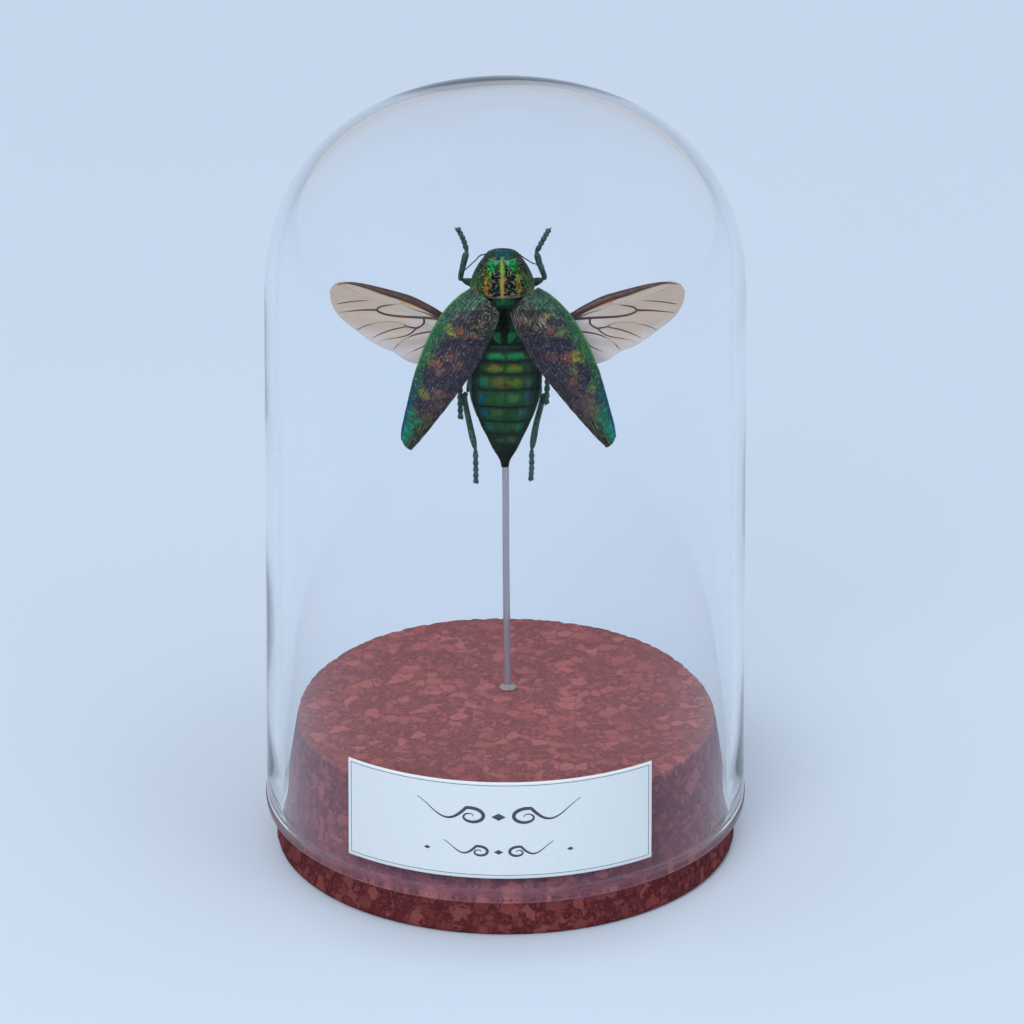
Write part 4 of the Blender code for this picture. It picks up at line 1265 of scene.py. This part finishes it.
LEGS = {
    "foreleg_left": (
        (-2.4, 11.4, 97.9, 0.70), (-4.6, 10.5, 97.0, 0.75), (-7.2, 9.1, 98.2, 0.65),
        (-7.4, 8.8, 99.0, 0.40), (-6.9, 8.3, 101.8, 0.40), (-6.4, 8.0, 104.1, 0.50),
        (-7.0, 7.7, 106.4, 0.42), (-7.9, 7.5, 108.4, 0.42), (-8.5, 7.4, 108.7, 0.15),
    ),
    "foreleg_right": (
        (1.5, 11.4, 97.9, 0.70), (3.8, 10.5, 97.0, 0.75), (6.4, 9.1, 98.3, 0.65),
        (6.5, 8.8, 99.1, 0.40), (5.7, 8.3, 101.7, 0.40), (5.2, 8.0, 103.8, 0.50),
        (6.3, 7.7, 106.2, 0.42), (7.2, 7.5, 108.1, 0.42), (7.8, 7.4, 108.5, 0.15),
    ),
    "midleg_left": (
        (-2.5, 12.1, 93.6, 0.75), (-5.6, 12.0, 90.4, 0.90), (-8.3, 11.0, 87.0, 0.70),
        (-8.4, 10.7, 86.2, 0.40), (-7.9, 10.2, 82.2, 0.42), (-7.5, 9.8, 78.6, 0.48),
        (-7.45, 9.5, 75.8, 0.42), (-7.4, 9.2, 73.1, 0.40), (-7.0, 9.2, 72.7, 0.15),
    ),
    "midleg_right": (
        (2.3, 12.1, 93.8, 0.75), (5.4, 12.0, 91.4, 0.90), (7.9, 11.0, 89.0, 0.70),
        (8.1, 10.7, 88.2, 0.40), (7.6, 10.2, 84.8, 0.42), (7.2, 9.8, 81.4, 0.48),
        (7.0, 9.5, 78.4, 0.42), (6.85, 9.2, 75.7, 0.40), (6.5, 9.2, 75.3, 0.15),
    ),
    "hindleg_left": (
        (-2.2, 11.9, 87.0, 0.75), (-4.3, 11.4, 82.2, 0.95), (-6.3, 10.2, 77.0, 0.65),
        (-6.7, 9.9, 76.2, 0.40), (-5.9, 9.6, 71.8, 0.42), (-5.0, 9.3, 67.2, 0.52),
        (-5.0, 9.1, 64.0, 0.45), (-5.0, 9.0, 61.3, 0.42), (-4.7, 9.0, 60.9, 0.15),
    ),
    "hindleg_right": (
        (2.1, 11.9, 87.0, 0.75), (4.2, 11.4, 82.0, 0.95), (6.0, 10.2, 76.8, 0.65),
        (6.2, 9.9, 76.0, 0.40), (5.2, 9.6, 71.8, 0.42), (4.5, 9.3, 67.2, 0.52),
        (4.5, 9.1, 64.2, 0.45), (4.4, 9.0, 61.8, 0.42), (4.1, 9.0, 61.4, 0.15),
    ),
}
FOOT_JOINTS = 5
FOOT_GIRTH = 0.53
FOOT_OVERLAP = 0.14


def rounded(count, blunt=0.5):
    """Shares of full girth along a limb: rounded off at both ends."""
    along = np.linspace(-1.0, 1.0, count)
    return np.clip(1 - np.abs(along) ** (2 / blunt), 0.0, 1.0) ** 0.5


def thigh(joints):
    path = resampled(joints[:3], 40)
    swell = 0.72 + 0.45 * np.sin(np.pi * np.linspace(0.0, 1.0, 40))
    return swept(path[:, :3], path[:, 3] * swell * np.clip(rounded(40, 0.3), 0.12, 1), 28, 0.85)


def hip(joints):
    """The short stout joint that plugs the thigh into the body, with a collar at its end."""
    root, knee = np.array(joints[0][:3]), np.array(joints[1][:3])
    start = root + (root - knee) * 0.32 + np.array([0.0, -0.35, 0.0])
    path = start + (root + (knee - root) * 0.16 - start) * np.linspace(0.0, 1.0, 18)[:, None]
    stops, girths = (0, 0.1, 0.45, 0.7, 0.78, 0.92, 1), (0.4, 0.8, 0.95, 0.85, 0.6, 0.66, 0.3)
    return swept(path, np.interp(np.linspace(0, 1, 18), stops, girths), 28, 0.9)


def shin(joints):
    path = resampled(joints[2:6], 46)
    path[:4, :3] = path[0, :3] + (path[4, :3] - path[0, :3]) * np.linspace(0, 0.8, 4)[:, None]
    girth = np.interp(np.linspace(0, 1, 46), (0.0, 0.08, 0.3, 0.85, 1.0), (0.36, 0.42, 0.40, 0.52, 0.44))
    return swept(path[:, :3], girth * np.clip(rounded(46, 0.2), 0.15, 1), 36, 0.8, 0.09)


def foot_joint(start, end, girth):
    """One lobed joint: narrow where it leaves the last one, broad and notched at its end."""
    shares = np.linspace(0.0, 1.0, 16)
    path = start + (end - start) * shares[:, None]
    shape = np.interp(shares, (0, 0.1, 0.35, 0.75, 0.92, 1), (0.35, 0.62, 0.68, 0.95, 0.9, 0.4))
    return swept(path, girth * shape, 20, 0.75)


def claw(start, end, turn):
    """A curved claw at the end of the foot."""
    shares = np.linspace(0.0, 1.0, 12)
    path = start + (end - start) * shares[:, None] + np.outer(np.sin(shares * math.pi), turn)
    return swept(path, np.interp(shares, (0, 0.3, 1), (0.15, 0.15, 0.03)), 12)


def joined(shells):
    """The points and faces of several closed shells, as one list of each."""
    points, faces, count = [], [], 0
    for shell_points, shell_faces in shells:
        points.append(shell_points)
        faces += [tuple(corner + count for corner in face) for face in shell_faces]
        count += len(shell_points)
    return np.vstack(points), faces


def build_leg(name, joints, finish):
    table = np.array(joints)
    shells = [hip(joints), thigh(joints), shin(joints)]
    foot = resampled(joints[5:8], FOOT_JOINTS + 1)[:, :3]
    for number in range(FOOT_JOINTS):
        reach = (foot[number + 1] - foot[number]) * FOOT_OVERLAP
        shells.append(foot_joint(foot[number] - reach, foot[number + 1] + reach, FOOT_GIRTH))
    tip, hook = table[7, :3], table[8, :3]
    out = hook - tip
    sideways = np.array([-out[2], 0.0, out[0]]) * 0.5
    shells.append(claw(tip, tip + out, sideways * 0.3))
    shells.append(claw(tip, tip - out * 0.8 + np.array([0, 0, out[2]]), -sideways * 0.3))
    return add_piece(name, *joined(closed_skin(rings) for rings in shells), finish)


horn = limb_finish("leg_horn", dye(46, 74, 72), dye(68, 104, 96), dye(112, 148, 132))
for name, joints in LEGS.items():
    fit(build_leg(name + "_horn", joints, horn), name)

# ------------------------------------------------------------------------------ Glass dome
# A clear blown dome with an even wall, a rounded shoulder and a fire-polished rim. It is
# pushed down over the cork and grips it just above the foot.

DOME_RADIUS = 40.0
DOME_WALL = 2.15
DOME_SPRING = 97.6
DOME_TOP = 132.9
DOME_SQUARENESS = 2.53
RIM_BOTTOM = GLASS_FOOT
RIM_HEIGHT = 1.9
RIM_BULGE = 0.15
CORK_LINE = (8.1, 8.3, 8.7, 8.95)
DOME_SIDES = 224


def crown(radius, height, count):
    """Points (radius, height) up a rounded shoulder, from the straight wall to the top."""
    angles = np.linspace(0.0, math.pi / 2, count)
    across = radius * np.cos(angles) ** (2 / DOME_SQUARENESS)
    up = height * np.sin(angles) ** (2 / DOME_SQUARENESS)
    across[-1] = 0.5
    return np.column_stack([across, DOME_SPRING + up])


def build_dome():
    inner = DOME_RADIUS - DOME_WALL
    rim_radius = DOME_RADIUS + RIM_BULGE
    edge = (rim_radius - inner) / 2
    inside = crown(inner, DOME_TOP - DOME_WALL - DOME_SPRING, 60)[::-1]
    rim = arc((inner + edge, RIM_BOTTOM + edge), edge, 180, 360, 20)
    waist = np.array([(rim_radius, RIM_BOTTOM + RIM_HEIGHT), (DOME_RADIUS, RIM_BOTTOM + RIM_HEIGHT + 0.6)])
    inner_wall = np.linspace(inside[-1], rim[0], 40)[1:-1]
    outer_wall = np.linspace(waist[-1], (DOME_RADIUS, DOME_SPRING), 40)[1:-1]
    outside = crown(DOME_RADIUS, DOME_TOP - DOME_SPRING, 60)
    rings, normals = turned(np.vstack([inside, inner_wall, rim, waist, outer_wall, outside]), DOME_SIDES)
    flat = rings.reshape(-1, 3)
    sag = 0.05 * (grains(flat, 22.0, 4.0) - 1.0) * smooth(flat[:, 2], 12.0, 20.0)
    rings = rings + normals * sag.reshape(rings.shape[:2])[..., None]
    return closed_skin(rings)


def glass_finish():
    glass = Finish("dome_glass", Transmission_Weight=1.0, IOR=1.46, Specular_Tint=(0.12, 0.12, 0.13, 1.0))
    spot = glass.place()
    film = glass.grain(spot, 0.05, 3.0)
    level = glass.along(spot, "Z")
    low, lower, upper, high = CORK_LINE
    haze = glass.rise(level, low, lower) * glass.rise(level, high, upper)
    glass.show(
        Base_Color=glass.blend(film, dye(250, 252, 255), dye(254, 255, 255)),
        Roughness=glass.rise(film, 0.5, 0.8) * 0.02 + haze * 0.6,
    )
    return glass


dome = add_piece("glass_dome_shell", *build_dome(), glass_finish())
dome.visible_shadow = False
fit(dome, "glass_dome")

# ----------------------------------------------------------------------------------- Label
# A strip of pale paper stuck round the front of the glass, with a fine ruled border and a
# plain scroll ornament printed where a name would go.

LABEL_BOTTOM = 11.75
LABEL_HEIGHT = 17.8
LABEL_HALF_ANGLE = math.radians(38.5)
LABEL_TURN = math.radians(-1.6)
LABEL_RADIUS = 40.26
LABEL_THICKNESS = 0.13


def on_label(across, up, lift):
    """A place on the label: along its length from the middle, up from its foot, off its face."""
    angle = LABEL_TURN + across / LABEL_RADIUS
    radius = LABEL_RADIUS + LABEL_THICKNESS + lift
    return np.stack([radius * np.sin(angle), -radius * np.cos(angle), LABEL_BOTTOM + up], axis=-1)


def paper_finish():
    paper = Finish("paper", Specular_IOR_Level=0.3)
    spot = paper.place()
    fibre = paper.grain(paper.wander(spot, 1.0, 1.0), 3.0, 4.0)
    across = paper.kept("edge")
    colour = paper.blend(fibre, dye(196, 208, 216), dye(212, 222, 228))
    colour = paper.blend(paper.rise(across, 0.5, 0.1) * 0.6, colour, dye(232, 236, 238))
    paper.show(Base_Color=colour, Roughness=0.62 + fibre * 0.15, Normal=paper.relief(fibre, 0.02))
    return paper


def build_label():
    half = LABEL_RADIUS * LABEL_HALF_ANGLE
    across, up = np.meshgrid(np.linspace(-half, half, 160), np.linspace(0.0, LABEL_HEIGHT, 40))
    front = on_label(across, up, 0.0)
    back = on_label(across, up, -LABEL_THICKNESS)
    edge = np.minimum(half - np.abs(across), np.minimum(up, LABEL_HEIGHT - up)).ravel()
    return add_piece("label_paper", *closed_sheet(front, back), paper_finish(), edge=np.tile(edge, 2))


fit(build_label(), "label")

INK_LIFT = 0.012
BORDER_INSET = 0.62
BORDER_WIDTH = 0.1
INK_FOOT = 0.002


def ink_finish():
    ink = Finish("ink_grey", Specular_IOR_Level=0.2)
    cloud = ink.grain(ink.place(), 3.0, 3.0)
    ink.show(Base_Color=ink.blend(cloud, dye(56, 58, 66), dye(84, 88, 98)), Roughness=0.6 + cloud * 0.2)
    return ink


def ribbon(path, widths):
    """A flat pen stroke on the label: a thin closed strip along a path (across, up)."""
    path = np.asarray(path, float)
    ahead = unit(np.gradient(path, axis=0))
    beside = np.column_stack([-ahead[:, 1], ahead[:, 0]]) * np.asarray(widths)[:, None] / 2
    edges = np.stack([path + beside, path, path - beside], axis=1)[:, ::-1]
    edges = np.swapaxes(edges, 0, 1)[::-1]
    front = on_label(edges[..., 0], edges[..., 1], INK_LIFT)
    back = on_label(edges[..., 0], edges[..., 1], INK_FOOT)
    return closed_sheet(front, back)


def border_strokes():
    half = LABEL_RADIUS * LABEL_HALF_ANGLE - BORDER_INSET
    low, high = BORDER_INSET, LABEL_HEIGHT - BORDER_INSET
    corners = ((-half, low), (half, low), (half, high), (-half, high), (-half, low))
    for start, end in zip(corners, corners[1:]):
        yield np.linspace(start, end, 90), np.full(90, BORDER_WIDTH)


def pen(path, broad):
    """A stroke that swells in the middle and thins out at both ends."""
    shares = np.linspace(0.0, 1.0, len(path))
    return path, 0.12 + broad * np.sin(np.pi * shares) ** 2


def scroll(centre, size, sign):
    """A spiral that unrolls into a long wave away from the centre."""
    turn = np.linspace(0.0, 2.6 * math.pi, 90)
    reach = size * (0.12 + 0.88 * turn / turn[-1])
    curl = np.column_stack([np.cos(turn) * reach, np.sin(turn) * reach * 0.62])
    run = np.linspace(0.0, 1.0, 60)[1:, None]
    wave = -0.9 * size * np.sin(run * math.pi * 1.25) * (1 - 0.3 * run)
    tail = curl[-1] + np.column_stack([-run * size * 3.2, wave])
    path = np.vstack([curl, tail]) * (sign, 1.0)
    return path + np.array(centre)


def lozenge(centre, size):
    """A small solid diamond, as a stroke that widens and narrows."""
    path = np.linspace((centre[0] - size, centre[1]), (centre[0] + size, centre[1]), 25)
    return path, size * 1.1 * (1 - np.abs(np.linspace(-1, 1, 25))) + 0.01


def ornament_strokes():
    for sign in (-1, 1):
        yield pen(scroll((-sign * 4.6, 11.4), 2.6, sign), 0.5)
        yield pen(scroll((-sign * 3.2, 4.9), 1.7, sign), 0.36)
        yield lozenge((sign * 12.0, 4.9), 0.6)
    yield lozenge((0.0, 11.4), 1.2)
    yield lozenge((0.0, 4.9), 0.8)


def build_ink(name, strokes, finish):
    return add_piece(name, *joined(ribbon(path, widths) for path, widths in strokes), finish)


ink = ink_finish()
fit(build_ink("label_border", border_strokes(), ink), "label")
fit(build_ink("label_ornament", ornament_strokes(), ink), "label")

# ---------------------------------------------------------------------- Floor, light, camera
# A plain pale table, a pale sky for the glass to mirror, three soft lamps, and a camera that
# looks down on the case from a little above.

FLOOR_RADII = (3000.0, 1200.0, 400.0, 120.0, 20.0)
FLOOR_SIDES = 64
FLOOR_DROP = 0.02


def floor_finish():
    table = Finish("pale_table", Specular_IOR_Level=0.1, Roughness=0.8)
    cloud = table.grain(table.place(), 0.004, 2.0)
    table.show(Base_Color=table.blend(cloud, dye(204, 219, 236), dye(208, 222, 239)))
    return table


def build_floor():
    """A flat disc, just under the case, open at its far edge."""
    rings = turned(np.array([(radius, 0.0) for radius in FLOOR_RADII]), FLOOR_SIDES)[0]
    points, faces = closed_skin(rings)
    outer_pole = len(FLOOR_RADII) * FLOOR_SIDES
    faces = [face for face in faces if outer_pole not in face]
    return add_piece("table_top", points - np.array([0.0, 0.0, FLOOR_DROP]), faces, floor_finish())


build_floor()

world = bpy.data.worlds.new("pale_sky")
world.use_nodes = True
sky = world.node_tree.nodes["Background"]
sky.inputs["Color"].default_value = dye(228, 234, 244)
sky.inputs["Strength"].default_value = 0.72
bpy.context.scene.world = world


# The lamps are flagged off the dome, so that their hot squares don't hide the beetle.
flagged = bpy.data.collections.new("flagged_off")
flagged.objects.link(dome)
flagged.collection_objects[0].light_linking.link_state = "EXCLUDE"


def add_lamp(name, place, size, power, colour):
    """A soft square lamp that faces the beetle. Its place is in metres, its size too."""
    lamp = bpy.data.lights.new(name, "AREA")
    lamp.size = size
    lamp.energy = power
    lamp.color = colour[:3]
    item = bpy.data.objects.new(name, lamp)
    bpy.context.scene.collection.objects.link(item)
    item.light_linking.receiver_collection = flagged
    aim = Vector((0.0, 0.0, 0.07)) - Vector(place)
    item.matrix_world = Matrix.Translation(place) @ aim.to_track_quat("-Z", "Y").to_matrix().to_4x4()


add_lamp("key_lamp", (-0.6, -1.3, 1.0), 0.9, 15.0, dye(255, 251, 246))
add_lamp("fill_lamp", (1.1, -0.9, 0.7), 0.8, 4.0, dye(250, 250, 252))
add_lamp("top_lamp", (0.1, 0.2, 1.6), 1.0, 4.0, dye(252, 252, 252))

CAMERA_HEIGHT_ANGLE = math.radians(25.8)
CAMERA_DISTANCE = 3.0
VIEW_WIDTH = 0.1705
SENSOR_WIDTH = 36.0

camera_data = bpy.data.cameras.new("camera")
camera_data.sensor_width = SENSOR_WIDTH
camera_data.lens = SENSOR_WIDTH * CAMERA_DISTANCE / VIEW_WIDTH
camera_data.clip_end = 30.0
camera = bpy.data.objects.new("camera", camera_data)
bpy.context.scene.collection.objects.link(camera)
aim = Vector((0.0011, 0.0, 0.0597))
away = Vector((0.0, -math.cos(CAMERA_HEIGHT_ANGLE), math.sin(CAMERA_HEIGHT_ANGLE)))
camera.location = aim + away * CAMERA_DISTANCE
camera.rotation_euler = (math.pi / 2 - CAMERA_HEIGHT_ANGLE, 0.0, 0.0)
bpy.context.scene.camera = camera
bpy.context.scene.view_settings.view_transform = "Standard"
